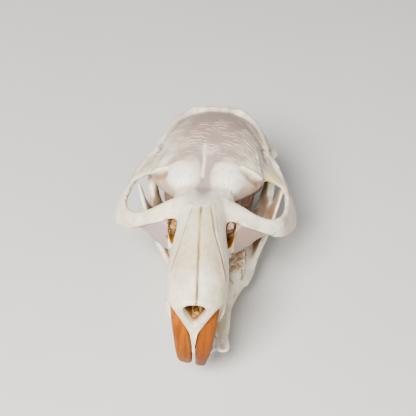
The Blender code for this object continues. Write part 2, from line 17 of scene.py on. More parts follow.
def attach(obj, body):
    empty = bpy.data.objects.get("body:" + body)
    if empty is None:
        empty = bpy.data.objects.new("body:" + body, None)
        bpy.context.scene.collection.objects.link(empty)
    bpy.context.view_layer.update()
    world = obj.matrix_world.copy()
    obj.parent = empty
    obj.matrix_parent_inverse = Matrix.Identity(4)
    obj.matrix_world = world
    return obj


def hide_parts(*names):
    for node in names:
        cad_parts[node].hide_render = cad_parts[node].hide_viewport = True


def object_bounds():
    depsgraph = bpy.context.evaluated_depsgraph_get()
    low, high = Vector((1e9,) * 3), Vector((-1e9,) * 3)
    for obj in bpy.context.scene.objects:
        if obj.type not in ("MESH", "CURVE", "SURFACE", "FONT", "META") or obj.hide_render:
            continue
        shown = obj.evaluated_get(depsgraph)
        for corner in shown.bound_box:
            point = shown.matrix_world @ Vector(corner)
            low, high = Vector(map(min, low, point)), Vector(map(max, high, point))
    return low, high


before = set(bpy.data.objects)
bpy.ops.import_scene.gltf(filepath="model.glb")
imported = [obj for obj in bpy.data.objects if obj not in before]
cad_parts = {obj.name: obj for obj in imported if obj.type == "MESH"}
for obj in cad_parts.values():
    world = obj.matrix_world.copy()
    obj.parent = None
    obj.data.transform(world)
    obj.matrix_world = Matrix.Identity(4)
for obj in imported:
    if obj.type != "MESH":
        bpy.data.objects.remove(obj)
cad_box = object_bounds()

# The cranium: one thin-walled bone case, grown together from snout, forehead, braincase,
# palate and cheek arches. Its forms are melted into one skin, its openings are cut, and then
# sutures, ridges and wrinkles are worked into the skin.
MM = 0.001
SIDES = {"left": 1, "right": -1}
# The bite plane's height over the floor, and the point that stands at the frame's origin
BITE_HEIGHT = 13.4
CENTRE_X = 0.2
CENTRE_Y = 31.4
# How far the snout and the nape lean aside over a length before and behind the middle
SNOUT_LEAN = 0.1
NAPE_LEAN = 1.3
LEAN_LENGTH = 30
LEAN_MIDDLE_Y = 30
# The fineness of the skin when forms are melted together, and once their openings are cut
COARSE_GRAIN = 0.34
FINE_GRAIN = 0.2

# Rows of y, half width, top, bottom, squareness and flare towards the underside
SNOUT = [
    (0.5, 4.5, 15.3, 8.0, 2.7, 0.02),
    (2.4, 5.5, 16.0, 5.4, 2.7, 0.02),
    (5.0, 6.0, 16.8, 4.7, 2.7, 0.03),
    (9.0, 6.25, 17.9, 4.7, 2.7, 0.06),
    (14.0, 6.1, 19.2, 5.6, 2.5, 0.12),
    (18.0, 5.7, 20.1, 5.4, 2.5, 0.14),
    (22.0, 5.4, 20.6, 5.0, 2.4, 0.0),
    (25.5, 6.1, 20.0, 5.0, 2.1, -0.35),
    (28.5, 5.9, 19.2, 6.0, 2.1, -0.5),
    (32.0, 5.0, 18.2, 7.0, 2.1, -0.5),
]
BRAINCASE = [
    (28.3, 3.3, 18.9, 12.4, 2.2, 0.10),
    (30.5, 6.0, 19.0, 12.0, 2.2, 0.12),
    (32.5, 8.4, 19.3, 11.4, 2.3, 0.12),
    (34.5, 10.5, 19.7, 10.8, 2.3, 0.12),
    (36.5, 11.7, 20.2, 10.0, 2.35, 0.12),
    (39.5, 12.0, 20.7, 7.0, 2.4, 0.12),
    (43.0, 11.8, 20.8, 3.2, 2.7, 0.10),
    (47.0, 11.8, 20.6, 2.2, 2.8, 0.12),
    (51.0, 12.0, 19.8, 3.9, 2.4, 0.26),
    (55.0, 12.0, 18.1, 3.8, 2.4, 0.33),
    (59.0, 11.1, 15.4, 4.0, 2.4, 0.38),
]
PALATE = [
    (21.5, 4.6, 9.0, 4.4, 2.8, 0.0),
    (25.0, 6.5, 9.6, 2.9, 4.0, 0.0),
    (31.0, 7.25, 10.0, 2.2, 5.0, 0.0),
    (38.0, 7.65, 9.8, 2.2, 5.0, 0.0),
    (43.0, 7.2, 9.4, 2.6, 3.6, 0.0),
    (47.0, 4.5, 8.8, 4.0, 2.4, 0.0),
]
# Rows of x, y, z and radius
NAPE_CREST = [
    (0.0, 60.2, 15.35, 0.7), (3.2, 60.0, 15.3, 0.75), (6.0, 59.5, 15.1, 0.7),
    (8.8, 58.3, 12.4, 0.9), (11.6, 56.9, 9.0, 0.9), (12.8, 55.4, 6.4, 1.0),
    (12.8, 54.8, 4.6, 0.9),
]
SIDE_CREST = [
    (5.8, 59.4, 15.0, 0.7), (8.3, 57.2, 14.8, 0.7), (10.2, 54.4, 14.2, 0.7),
    (11.5, 51.0, 13.4, 0.7), (12.3, 47.6, 12.6, 0.8),
]
BROW_PEGS = {
    "left": [(7.5, 36.6, 18.6), (9.4, 36.2, 17.6), (11.5, 36.3, 15.4)],
    "right": [(8.9, 35.9, 17.7), (10.6, 36.2, 16.6), (12.0, 36.5, 15.3)],
}
PEG_RADIUS = 0.75
# Rows of x, y, z, the wide way x, y, z, half width and half thickness
ARCH = [
    (3.8, 24.6, 17.4, 0.0, 0.75, 0.66, 2.6, 1.7),
    (7.4, 24.8, 15.5, 0.1, 0.72, 0.70, 2.2, 1.2),
    (10.8, 25.3, 13.2, 0.2, 0.66, 0.75, 1.8, 1.0),
    (14.0, 26.4, 11.0, 0.1, 0.5, 0.86, 1.9, 1.0),
    (16.8, 28.9, 9.0, -0.2, 0.25, 0.95, 2.4, 0.95),
    (18.4, 32.4, 7.6, -0.40, 0.1, 0.92, 2.9, 0.9),
    (18.7, 36.2, 7.1, -0.42, 0.0, 0.90, 2.9, 0.85),
    (17.9, 39.8, 7.6, -0.42, 0.0, 0.90, 2.5, 0.85),
    (16.4, 43.0, 8.9, -0.5, 0.3, 0.80, 2.0, 0.9),
    (14.0, 45.2, 9.9, -0.6, 0.6, 0.60, 2.4, 1.05),
    (11.0, 46.8, 11.2, -0.6, 0.7, 0.50, 3.0, 1.3),
]
ARCH_ROOT = [
    (10.6, 43.8, 13.2, -0.25, 1.0, -0.12, 5.8, 1.7),
    (13.0, 43.2, 11.9, -0.25, 1.0, -0.12, 4.9, 1.1),
    (15.0, 42.4, 10.5, -0.25, 1.0, -0.12, 3.2, 0.85),
    (16.4, 41.8, 9.4, -0.25, 1.0, -0.12, 1.8, 0.8),
]
CHEEK_PLATE = [
    (6.6, 20.9, 9.0, -0.05, 0.1, 1.0, 1.7, 0.7),
    (8.2, 22.4, 10.9, -0.05, 0.1, 1.0, 3.5, 0.75),
    (10.0, 23.8, 11.5, -0.05, 0.1, 1.0, 3.3, 0.75),
    (11.8, 25.0, 11.3, -0.05, 0.1, 1.0, 2.5, 0.75),
    (13.8, 26.2, 10.7, -0.05, 0.1, 1.0, 1.6, 0.7),
]
# The small forms: bone between the front teeth, wings behind the palate, hooks behind the ears.
# Then, as centres, radii and turns: a lump at the nape, walls deep in the hollows, and the knobs
# of the neck joint
TOOTH_DIVIDER = [
    (0, 2.6, 11.0, 1, 0, 0, 2.6, 2.6), (0, 2.4, 7.0, 1, 0, 0, 1.4, 2.2),
    (0, 2.2, 3.0, 1, 0, 0, 0.7, 1.7), (0, 2.4, 0.6, 1, 0, 0, 0.3, 1.2),
]
PALATE_WING = [
    (4.6, 43.0, 4.6, 0.1, 0, 1, 1.5, 0.5), (3.2, 45.6, 3.6, 0.1, 0, 1, 1.9, 0.5),
    (3.0, 49.0, 4.0, 0.1, 0, 1, 1.3, 0.5),
]
EAR_HOOK = [(10.6, 57.0, 6.0, 1.6), (10.6, 57.6, 3.4, 1.2), (10.2, 57.9, 1.4, 0.7)]
NAPE_LUMP = ((12.9, 53.4, 8.3), (1.9, 1.6, 1.5))
EYE_WALL = ((0, 35.0, 10.6), (4.5, 4.0, 1.9))
TEMPLE_WALL = ((8.5, 43.2, 4.2), (1.8, 4.0, 3.4))
CHEEK_FOOT = ((6.0, 22.7, 9.0), (1.6, 2.2, 1.7))
NECK_KNOB = ((3.3, 60.2, 5.3), (1.7, 2.8, 3.0), (0, 20, -12))
# The openings of the nose and before each eye, as rows of x, y, z, the wide way, half width, half
# height, squareness and flare, then of the nape, the throat and the palate
NOSE_OPENING = [
    (0.1, -1.6, 11.5, 1, 0, 0, 1.65, 3.2, 2.8, -0.9),
    (0.1, 1.6, 11.5, 1, 0, 0, 1.6, 3.1, 2.8, -0.9),
    (0.1, 6.5, 12.2, 1, 0, 0, 1.4, 2.0, 2.4, -0.6),
]
CHEEK_OPENING = [
    (5.9, 16.6, 12.4, 1, 0, 0, 0.5, 1.0, 2.2, -0.4),
    (5.8, 19.2, 13.0, 1, 0, 0, 1.05, 2.3, 2.4, -0.45),
    (5.7, 22.0, 13.1, 1, 0, 0, 1.25, 2.7, 2.6, -0.4),
    (5.7, 25.0, 12.1, 1, 0, 0, 1.35, 2.6, 2.6, -0.3),
    (5.7, 29.0, 11.2, 1, 0, 0, 1.4, 2.6, 2.6, -0.3),
]
NAPE_OPENING = ((0, 63.0, 6.6), (3.1, 9.5, 2.9))
THROAT_OPENING = ((0, 44.8, 4.4), (1.5, 3.4, 1.1))
PALATE_SLIT = ((1.15, 15.0, 5.0), (0.75, 5.5, 2.2))
# The upper front teeth, whose roots shape the bone: rows of x, y and z of the middle, half width
# and half depth. The first rows are the root, in a wall of bone, and the socket leaves it a
# little play and room in front, up to the slanted rim
UPPER_INCISOR = [
    (3.45, 4.0, 12.6, 1.6, 1.6), (2.9, 2.1, 8.0, 1.65, 1.65), (2.32, 1.3, 4.0, 1.7, 1.65),
    (2.03, 1.4, 0.0, 1.7, 1.6), (1.9, 2.4, -3.6, 1.6, 1.4), (1.8, 4.15, -7.9, 1.55, 1.0),
]
UPPER_SQUARENESS = 3.2
SOCKET_RIM = ((5.1, 0.9, 14.6), (1.2, 0.2, 7.2), (3.0, 4.8, 4.4))
ROOT_ROWS = 4
SOCKET_WALL = 0.3
SOCKET_PLAY = 0.12
SOCKET_FRONT = 1.6


def in_frame(points):
    """Skull millimetres to the frame's metres, with the slight lean of the real skull."""
    x, y, z = np.asarray(points, float).T
    behind = y - LEAN_MIDDLE_Y
    leaned = x + np.where(behind > 0, NAPE_LEAN, SNOUT_LEAN) * behind / LEAN_LENGTH
    return np.stack([leaned - CENTRE_X, y - CENTRE_Y, z + BITE_HEIGHT], 1) * MM


def placed(name, data):
    obj = bpy.data.objects.new(name, data)
    bpy.context.scene.collection.objects.link(obj)
    return obj


def object_of(name, bm):
    """The object that a bmesh describes."""
    mesh = bpy.data.meshes.new(name)
    bm.to_mesh(mesh)
    bm.free()
    return placed(name, mesh)


def closed_body(name, points, faces):
    """A body with these faces, all turned outwards."""
    bm = bmesh.new()
    corners = [bm.verts.new(p) for p in points]
    for face in faces:
        bm.faces.new([corners[k] for k in face])
    bm.normal_update()
    bmesh.ops.recalc_face_normals(bm, faces=bm.faces)
    return object_of(name, bm)


def curve_through(rows, at):
    """The row at a station number on a smooth curve through all the rows of values."""
    last = len(rows) - 1
    i = min(int(at), last - 1)
    t = at - i
    a, b, c, d = (np.array(rows[k]) for k in (max(i - 1, 0), i, i + 1, min(i + 2, last)))
    return 0.5 * (2 * b + (c - a) * t + (2 * a - 5 * b + 4 * c - d) * t * t
                  + (3 * b - a - 3 * c + d) * t ** 3)


def loft(stations, steps=4, sides=24, caps=(0.0, 0.0), grow=0.0, facing=None):
    """A closed body through rows of x, y, z, wide way, half width, half thickness, squareness
    and flare. caps are the heights of its domed ends, and facing keeps its sections parallel."""
    last = len(stations) - 1
    nudge = 0.02
    sections = []
    for k in range(last * steps + 1):
        row = curve_through(stations, k / steps)
        along = curve_through(stations, min(k / steps + nudge, last))[:3]
        along = along - curve_through(stations, max(k / steps - nudge, 0))[:3]
        along = np.array(facing or along / np.linalg.norm(along), float)
        wide = row[3:6] - (row[3:6] @ along) * along
        sections.append((row[:3], along, wide / np.linalg.norm(wide), row[6:], 1.0))
    ends = [[], []]
    for end, height in enumerate(caps):
        centre, along, wide, row, _ = sections[-end]
        outward = along if end else -along
        for turn in (math.radians(30), math.radians(60)) if height else ():
            ends[end].append(
                (centre + outward * height * math.sin(turn), along, wide, row, math.cos(turn))
            )
    tips = [sections[0][0] - sections[0][1] * caps[0], sections[-1][0] + sections[-1][1] * caps[1]]
    points = []
    loops = ends[0][::-1] + sections + ends[1]
    angles = np.arange(sides) * 2 * math.pi / sides
    for centre, along, wide, (a, b, power, flare), scale in loops:
        c, s = (np.sign(v) * np.abs(v) ** (2 / power) for v in (np.cos(angles), np.sin(angles)))
        across = np.outer(c * (a + grow) * (1 + flare * s), wide)
        across += np.outer(s * (b + grow), np.cross(along, wide))
        points.extend(centre + scale * across)
    faces = []
    for ring in range(len(loops) - 1):
        for k in range(sides):
            here, beside = ring * sides + k, ring * sides + (k + 1) % sides
            faces.append((here, beside, beside + sides, here + sides))
    for ring, tip in ((0, tips[0]), (len(loops) - 1, tips[1])):
        points.append(tip)
        for k in range(sides):
            faces.append((ring * sides + k, ring * sides + (k + 1) % sides, len(points) - 1))
    return closed_body("form", points, faces)


def hull(rows, **shape):
    """A body across the midline."""
    return loft(
        [(0, y, (top + bottom) / 2, 1, 0, 0, half, (top - bottom) / 2, power, flare)
         for y, half, top, bottom, power, flare in rows],
        facing=(0, 1, 0), sides=40, **shape,
    )


def on_side(rows, side):
    """Rows that start with an x, on the animal's left for 1 and on its right for -1."""
    return [(side * x, *rest) for x, *rest in rows]


def rod(rows, side, **shape):
    """A round rod through rows of x, y, z and radius."""
    stations = [(side * x, y, z, 0.1, 0.3, 1.0, r, r, 2.0, 0.0) for x, y, z, r in rows]
    return loft(stations, sides=14, **shape)


def band(rows, side, power=2.4, **shape):
    """A flat bar through rows of x, y, z, the wide way, half width and half thickness."""
    stations = [(side * x, y, z, side * wx, wy, wz, a, b, power, 0.0)
                for x, y, z, wx, wy, wz, a, b in rows]
    return loft(stations, sides=20, **shape)


def ball(centre, radii, turn=(0, 0, 0), side=1):
    """An ellipsoid, turned by angles in degrees about x, y and z, or its mirror image."""
    bm = bmesh.new()
    bmesh.ops.create_uvsphere(bm, u_segments=32, v_segments=20, radius=1)
    spin = Matrix.Identity(3)
    for axis, angle in zip("XYZ", (turn[0], side * turn[1], side * turn[2])):
        spin = Matrix.Rotation(math.radians(angle), 3, axis) @ spin
    middle = (side * centre[0], *centre[1:])
    bm.transform(Matrix.Translation(middle) @ (spin @ Matrix.Diagonal(radii)).to_4x4())
    return object_of("form", bm)


def front_tooth(rows, squareness, side, ahead=0.0, **shape):
    """A front tooth, or with ahead the room for it, open in front."""
    return loft([
        (side * (x + ahead / 2), y - ahead, z, 1, 0, 0,
         half + ahead / 2, depth + ahead, squareness, 0.0)
        for x, y, z, half, depth in rows
    ], **shape)


def block(corners):
    """A six-sided block through eight corners."""
    return closed_body("block", corners, [
        (0, 1, 3, 2), (4, 6, 7, 5), (0, 4, 5, 1), (2, 3, 7, 6), (0, 2, 6, 4), (1, 5, 7, 3),
    ])


def beyond(corners, side, up, shift=0.0, reach=40):
    """A large block above, or below, the slanted plane through three points."""
    a, b, c = np.array(on_side(corners, side), float)
    normal = np.cross(b - a, c - a)
    normal *= (1 if up else -1) * np.sign(normal[2]) / np.linalg.norm(normal)
    wide = np.cross(normal, (0, 1, 0))
    wide /= np.linalg.norm(wide)
    deep = np.cross(normal, wide)
    return block([
        a + normal * (shift + reach * w) + reach * (u * wide + v * deep)
        for u in (-1, 1) for v in (-1, 1) for w in (0, 1)
    ])


def together(name, forms):
    """Gathers overlapping forms in one mesh."""
    bm = bmesh.new()
    for form in forms:
        bm.from_mesh(form.data)
        bpy.data.objects.remove(form)
    return object_of(name, bm)


def applied(obj):
    """Keeps the shape that the modifiers make."""
    graph = bpy.context.evaluated_depsgraph_get()
    graph.update()
    mesh = bpy.data.meshes.new_from_object(obj.evaluated_get(graph))
    obj.modifiers.clear()
    obj.data = mesh
    return obj


def melted(obj, grain, rounds):
    """Melts overlapping forms into one skin and softens the creases between them."""
    skin = obj.modifiers.new("skin", "REMESH")
    skin.mode = "VOXEL"
    skin.voxel_size = grain
    soften = obj.modifiers.new("soften", "SMOOTH")
    soften.factor = 0.5
    soften.iterations = rounds
    return applied(obj)


def carved(obj, cutters):
    """Cuts forms from a piece."""
    group = bpy.data.collections.new("cutters")
    bpy.context.scene.collection.children.link(group)
    for cutter in cutters:
        group.objects.link(cutter)
    cut = obj.modifiers.new("cut", "BOOLEAN")
    cut.operation = "DIFFERENCE"
    cut.solver = "MANIFOLD"
    cut.operand_type = "COLLECTION"
    cut.collection = group
    applied(obj)
    for cutter in cutters:
        bpy.data.objects.remove(cutter)
    bpy.data.collections.remove(group)
    return obj


def points_of(obj, value="co"):
    found = np.empty(len(obj.data.vertices) * 3, np.float32)
    obj.data.vertices.foreach_get(value, found)
    return found.reshape(-1, 3).astype(float)


def normals_of(obj):
    return points_of(obj, "normal")


def set_points(obj, points):
    obj.data.vertices.foreach_set("co", np.asarray(points, np.float32).ravel())
    obj.data.update()


def gap_to(points, path):
    """How far each point is from a line through the path's points, in plan if they have no z."""
    points = points[:, :len(path[0])]
    nearest = np.full(len(points), np.inf)
    for a, b in zip(path[:-1], path[1:]):
        a, reach = np.array(a, float), np.array(b, float) - np.array(a, float)
        t = np.clip((points - a) @ reach / (reach @ reach), 0, 1)
        nearest = np.minimum(nearest, np.linalg.norm(points - a - t[:, None] * reach, axis=1))
    return nearest


def hill(distance, width):
    """One at the middle of a mark and falling softly to nothing at its width."""
    return np.exp(-(distance / width) ** 2)


def over(values, start, end):
    """Rises softly from 0 at start to 1 at end."""
    t = np.clip((values - start) / (end - start), 0, 1)
    return t * t * (3 - 2 * t)


def under(values, start, end):
    """Falls softly from 1 at start to 0 at end."""
    return 1 - over(values, start, end)


def noise(points, scale, seed, cells=16):
    """Smooth noise, from about -1 to 1, with one swell every so many millimetres."""
    grid = np.random.default_rng(seed).normal(size=(cells, cells, cells, 3))
    grid /= np.linalg.norm(grid, axis=3, keepdims=True)
    at = points / scale
    base = np.floor(at).astype(int)
    part = at - base
    blend = part ** 3 * (part * (part * 6 - 15) + 10)
    total = np.zeros(len(points))
    for corner in itertools.product((0, 1), repeat=3):
        step = np.array(corner)
        slope = grid[tuple(((base + step) % cells).T)]
        weight = np.prod(np.where(step, blend, 1 - blend), axis=1)
        total += weight * ((part - step) * slope).sum(1)
    return total * 1.6


def mark(obj, name, values):
    """Keeps a value for each point of the skin, which the material reads."""
    layer = obj.data.attributes.new(name, "FLOAT", "POINT")
    layer.data.foreach_set("value", np.clip(values, 0, 1).astype(np.float32))


def finished(obj, name, place, material, slot, *nodes):
    """Sets a piece in the frame, in place of its plain solids and never beyond their box."""
    set_points(obj, np.clip(place(points_of(obj)), *cad_box))
    obj.name = obj.data.name = name
    obj.data.shade_smooth()
    obj.data.materials.clear()
    obj.data.materials.append(material)
    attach(obj, "root")
    if nodes:
        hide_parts(*nodes)
    return obj


class Look:
    """A material built of named nodes."""

    def __init__(self, name, roughness, **sockets):
        self.material = bpy.data.materials.new(name)
        self.material.use_nodes = True
        self.tree = self.material.node_tree
        self.shader = self.tree.nodes["Principled BSDF"]
        self.shader.inputs["Roughness"].default_value = roughness
        for socket, value in sockets.items():
            self.shader.inputs[socket.replace("_", " ")].default_value = value

    def node(self, kind, **settings):
        made = self.tree.nodes.new(kind)
        for key, value in settings.items():
            if key in made.inputs:
                made.inputs[key].default_value = value
            else:
                setattr(made, key, value)
        return made

    def join(self, source, target):
        self.tree.links.new(source, target)

    def noise(self, size, detail=4.0, roughness=0.55, stretch=(1, 1, 1)):
        """Noise with swells of this size in millimetres, as a factor."""
        place = self.node("ShaderNodeTexCoord")
        scale = self.node("ShaderNodeMapping")
        scale.inputs["Scale"].default_value = stretch
        made = self.node("ShaderNodeTexNoise", Scale=1000 / size, Detail=detail, Roughness=roughness)
        self.join(place.outputs["Object"], scale.inputs["Vector"])
        self.join(scale.outputs["Vector"], made.inputs["Vector"])
        return made.outputs["Fac"]

    def mark(self, name):
        return self.node("ShaderNodeAttribute", attribute_name=name).outputs["Fac"]

    def ramp(self, factor, low, high, bottom=0.0, top=1.0):
        made = self.node("ShaderNodeMapRange", interpolation_type="SMOOTHSTEP")
        for key, value in zip(("From Min", "From Max", "To Min", "To Max"), (low, high, bottom, top)):
            made.inputs[key].default_value = value
        self.join(factor, made.inputs["Value"])
        return made.outputs["Result"]

    def mix(self, factor, below, above):
        """Lays one colour over another by a factor."""
        made = self.node("ShaderNodeMix", data_type="RGBA")
        self.join(factor, made.inputs["Factor"])
        for value, key in ((below, "A"), (above, "B")):
            socket = next(s for s in made.inputs if s.name == key and s.type == "RGBA")
            if isinstance(value, tuple):
                socket.default_value = (*value, 1.0)
            else:
                self.join(value, socket)
        return next(s for s in made.outputs if s.type == "RGBA")

    def patches(self, one, other, low, high, *noise):
        """Two colours in patches, which part where the noise passes from low to high."""
        return self.mix(self.ramp(self.noise(*noise), low, high), one, other)

    def marked(self, colour, **tones):
        """Lays a tone over the colour wherever the skin's mark of the same name is."""
        for name, tone in tones.items():
            colour = self.mix(self.mark(name), colour, tone)
        return colour

    def done(self, colour, bumps):
        """Sets the colour, and bumps as pairs of a height and its depth in millimetres."""
        self.join(colour, self.shader.inputs["Base Color"])
        last = None
        for height, depth in bumps:
            bump = self.node("ShaderNodeBump", Strength=1.0, Distance=depth * MM)
            self.join(height, bump.inputs["Height"])
            if last:
                self.join(last, bump.inputs["Normal"])
            last = bump.outputs["Normal"]
        if last:
            self.join(last, self.shader.inputs["Normal"])
        return self.material


# Colours of the bone; the cool, tan, pink and dark tones also serve as painted shade
WHITE_BONE = (0.80, 0.76, 0.60)
CREAM_BONE = (0.70, 0.60, 0.40)
COOL_TONE_AND_SHADE = (0.30, 0.22, 0.195)
TAN = (0.21, 0.11, 0.035)
OCHRE = (0.30, 0.13, 0.015)
PINK_TAN = (0.20, 0.085, 0.055)
DARK_BROWN = (0.06, 0.02, 0.008)
YELLOW = (0.70, 0.55, 0.20)
BONE_TONES_AND_SHADES = {
    "cool_tone_and_shade": COOL_TONE_AND_SHADE, "yellow": YELLOW, "tan": TAN, "pink": PINK_TAN, "ochre": OCHRE,
    "dark": DARK_BROWN,
}


def bone_look():
    look = Look("dry_bone", 0.42, Coat_Weight=0.15, Coat_Roughness=0.3, Specular_IOR_Level=0.45)
    colour = look.patches(WHITE_BONE, CREAM_BONE, 0.40, 0.64, 8.0, 3.0)
    fine = look.ramp(look.noise(1.1, 6.0, 0.6), 0.42, 0.75, 0.0, 0.32)
    colour = look.mix(fine, colour, COOL_TONE_AND_SHADE)
    colour = look.marked(colour, **BONE_TONES_AND_SHADES)
    return look.done(colour, [(look.noise(0.5, 5.0, 0.6), 0.05), (look.noise(3.0, 3.0), 0.12)])


def stain(obj, marks):
    """Keeps where each tone and each painted shade of the bone lies, which is nowhere if its mark
    isn't given.
    """
    for name in BONE_TONES_AND_SHADES:
        mark(obj, name, marks.get(name, np.zeros(len(obj.data.vertices))))


bone = bone_look()

forms = [
    hull(SNOUT, caps=(0.6, 2.0)),
    hull(BRAINCASE, caps=(1.0, 1.6)),
    hull(PALATE, caps=(0.5, 1.0)),
    band(TOOTH_DIVIDER, 1, caps=(0.3, 0.3)),
    ball(*NAPE_LUMP),
    ball(*EYE_WALL),
]
for word, side in SIDES.items():
    forms += [
        band(ARCH, side),
        band(ARCH_ROOT, side, caps=(0.3, 0.3)),
        band(CHEEK_PLATE, side, caps=(0.3, 0.3)),
        rod([(*place, PEG_RADIUS) for place in BROW_PEGS[word]], side, caps=(0.4, 0.5)),
        rod(NAPE_CREST, side, caps=(0.4, 0.6)),
        rod(SIDE_CREST, side, caps=(0.4, 0.6)),
        front_tooth(UPPER_INCISOR[:ROOT_ROWS], UPPER_SQUARENESS, side, caps=(0.3, 0.3),
                    grow=SOCKET_WALL),
        ball(*NECK_KNOB, side=side),
        rod(EAR_HOOK, side, caps=(0.2, 0.4)),
        ball(*TEMPLE_WALL, side=side),
        ball(*CHEEK_FOOT, side=side),
        band(PALATE_WING, side, caps=(0.3, 0.4)),
    ]
cranium = melted(together("cranium", forms), COARSE_GRAIN, 8)

cutters = [
    loft(NOSE_OPENING, caps=(0, 1.2)),
    ball(*NAPE_OPENING),
    ball(*THROAT_OPENING),
]
for side in SIDES.values():
    room = front_tooth(UPPER_INCISOR, UPPER_SQUARENESS, side, ahead=SOCKET_FRONT,
                       caps=(0.2, 0.2), grow=SOCKET_PLAY)
    cutters += [
        loft(on_side(CHEEK_OPENING, side), caps=(0.4, 0.5), facing=(0, 1, 0)),
        ball(*PALATE_SLIT, side=side),
        carved(room, [beyond(SOCKET_RIM, side, True, 0.1)]),
    ]
carved(cranium, cutters)
melted(cranium, FINE_GRAIN, 2)

# The relief. The seams between the nose bones and beside them run from the forehead forwards
NOSE_SEAM = [(-0.25, 22.4, 20.8), (0.0, 11.5, 18.5), (0.3, 3.1, 16.2), (0.35, 0.3, 15.0)]
SIDE_SEAMS = {
    "left": [(1.7, 22.8, 20.6), (2.3, 20.0, 20.0), (2.8, 17.2, 19.2), (3.3, 15.3, 18.6),
             (4.9, 10.5, 16.3), (5.7, 7.8, 14.3)],
    "right": [(-2.1, 21.9, 20.4), (-2.8, 19.0, 19.5), (-3.5, 16.0, 18.5), (-4.2, 12.3, 17.3),
              (-5.2, 8.5, 15.5)],
}
BROW_SEAM = [(-3.0, 23.2, 19.9), (-1.5, 22.1, 20.6), (1.0, 22.6, 20.8), (2.2, 23.8, 20.5)]
# The two bulges of the forehead, with the thin ridge between their ends, in plan, and the
# middles of the patches where their bone lies in whorls
BULGE_CENTRE = (4.7, 32.6, 19.0)
BULGE_WIDTH = 3.1
ROOF_RIDGE = [(-0.6, 32.6), (-0.75, 36.6), (-1.05, 41.0)]
BULGE_ENDS = {
    "left": [(9.0, 36.8), (5.8, 37.2), (2.5, 36.9)],
    "right": [(-9.3, 36.9), (-6.5, 37.4), (-3.5, 36.9)],
}
WHORLS = [(-4.9, 31.2, 18.2), (-3.8, 29.9, 17.9), (4.1, 31.1, 18.6), (4.9, 30.0, 17.4)]
WHORL_RADIUS = 1.15
# The crests that run back from the pegs, and the grooves and the crack inside the nape's rim
CRESTS = {
    "left": [(11.7, 36.8, 16.0), (11.2, 40.0, 16.6), (10.0, 43.5, 16.8)],
    "right": [(-12.1, 37.0, 15.8), (-12.0, 40.0, 16.0), (-11.6, 43.5, 15.8)],
}
NAPE_GROOVES = {
    "left": [(3.0, 57.0, 17.2), (6.2, 54.8, 16.8), (8.8, 49.8, 17.0), (11.2, 48.0, 14.2),
             (12.3, 44.6, 13.6)],
    "right": [(-4.0, 57.0, 16.9), (-7.3, 54.9, 16.2), (-9.6, 50.2, 16.1), (-11.5, 48.8, 13.8),
              (-12.4, 44.4, 13.8)],
}
NAPE_CRACK = [(11.4, 47.8, 14.2), (12.2, 50.5, 12.2), (12.9, 53.0, 10.0)]
# The edge above the plate in front of each eye socket, as values of x and of z, and the small
# hole beside the right plate
PLATE_EDGE = ((6.0, 8.5, 10.8, 12.6, 14.5), (15.7, 14.7, 12.8, 11.3, 9.8))
PLATE_PINHOLE = [(-7.25, 19.9, 12.8), (-7.5, 22.4, 10.4)]
# Heights and depths of the relief in millimetres
SEAM_DEPTH = 0.24
BROW_SEAM_HEIGHT = 0.24
BULGE_HEIGHT = 0.85
MOAT_DEPTH = 0.2
VALLEY_DEPTH = 0.4
RIDGE_HEIGHT = 0.35
PEG_HEIGHT = 0.4
PEG_UNDERCUT = 0.55
CREST_HEIGHT = 0.35
NAPE_GROOVE_DEPTH = 0.35
CRACK_DEPTH = 0.5
PLATE_DEPTH = 0.5
WRINKLE_HEIGHT = 0.13
# How fast the wrinkles' waves turn, in radians to a millimetre
WRINKLE_WAVES = 6.6


def nearer(points, paths):
    """How far each point is from the nearer of two paths, one on each side."""
    return np.minimum(*(gap_to(points, path) for path in paths))


points = points_of(cranium)
normals = normals_of(cranium)
x, y, z = points.T
aside = np.abs(x)
outward = normals[:, 0] * np.sign(x)
facing_up = over(normals[:, 2], 0.05, 0.5)
wander = noise(points, 3.0, 5)[:, None] * 0.12
nose_seam = gap_to(points + wander, NOSE_SEAM)
side_seams = nearer(points + wander, SIDE_SEAMS.values())
brow_seam = gap_to(points + 2 * wander, BROW_SEAM)
lift = np.zeros(len(points))
lift -= SEAM_DEPTH * hill(nose_seam, 0.16) + 0.2 * hill(side_seams, 0.2)
lift += 0.10 * hill(side_seams - 0.5, 0.35)
lift += BROW_SEAM_HEIGHT * hill(brow_seam, 0.6) * (0.4 + noise(points, 0.9, 8))
# The two bulges of the forehead, with the valley between them and the thin ridge behind
from_bulge = np.minimum(*(
    np.linalg.norm((points - centre) * (1, 0.8, 0.8), axis=1)
    for centre in (np.array(BULGE_CENTRE) * (side, 1, 1) for side in SIDES.values())
))
bulges = hill(from_bulge, BULGE_WIDTH)
moat = hill(from_bulge - 4.8, 1.3) * over(z, 14, 16) * over(y, 27.0, 30.5)
valley = hill(x + 0.3, 2.2) * over(y, 21, 30) * under(y, 34, 41) * facing_up
ridge = gap_to(points, ROOF_RIDGE)
lift += BULGE_HEIGHT * bulges - MOAT_DEPTH * moat - VALLEY_DEPTH * valley
lift += RIDGE_HEIGHT * hill(ridge, 0.25) * facing_up
lift -= 0.3 * hill(nearer(points, BULGE_ENDS.values()), 0.8) * facing_up
for centre in WHORLS:
    across, along = x - centre[0], (z - centre[2]) * 0.8 - (y - centre[1]) * 0.6
    turned = np.hypot(across, along) * 6 + 2 * np.arctan2(along, across)
    near = hill(np.linalg.norm(points - centre, axis=1), WHORL_RADIUS)
    lift += 0.09 * near * np.sin(turned + 2 * noise(points, 0.9, 3)) - 0.08 * near
# The pegs behind the eye sockets, and the crest from each of them to the nape
peg_paths = [np.array(BROW_PEGS[word]) * (side, 1, 1) for word, side in SIDES.items()]
pegs = nearer(points, [path + (0, -0.3, 0.6) for path in peg_paths])
under_pegs = nearer(points, [path + (0, -1.3, -0.5) for path in peg_paths])
lift += PEG_HEIGHT * hill(pegs, 0.4) - PEG_UNDERCUT * hill(under_pegs, 0.7)
lift += CREST_HEIGHT * hill(nearer(points, CRESTS.values()), 0.45)
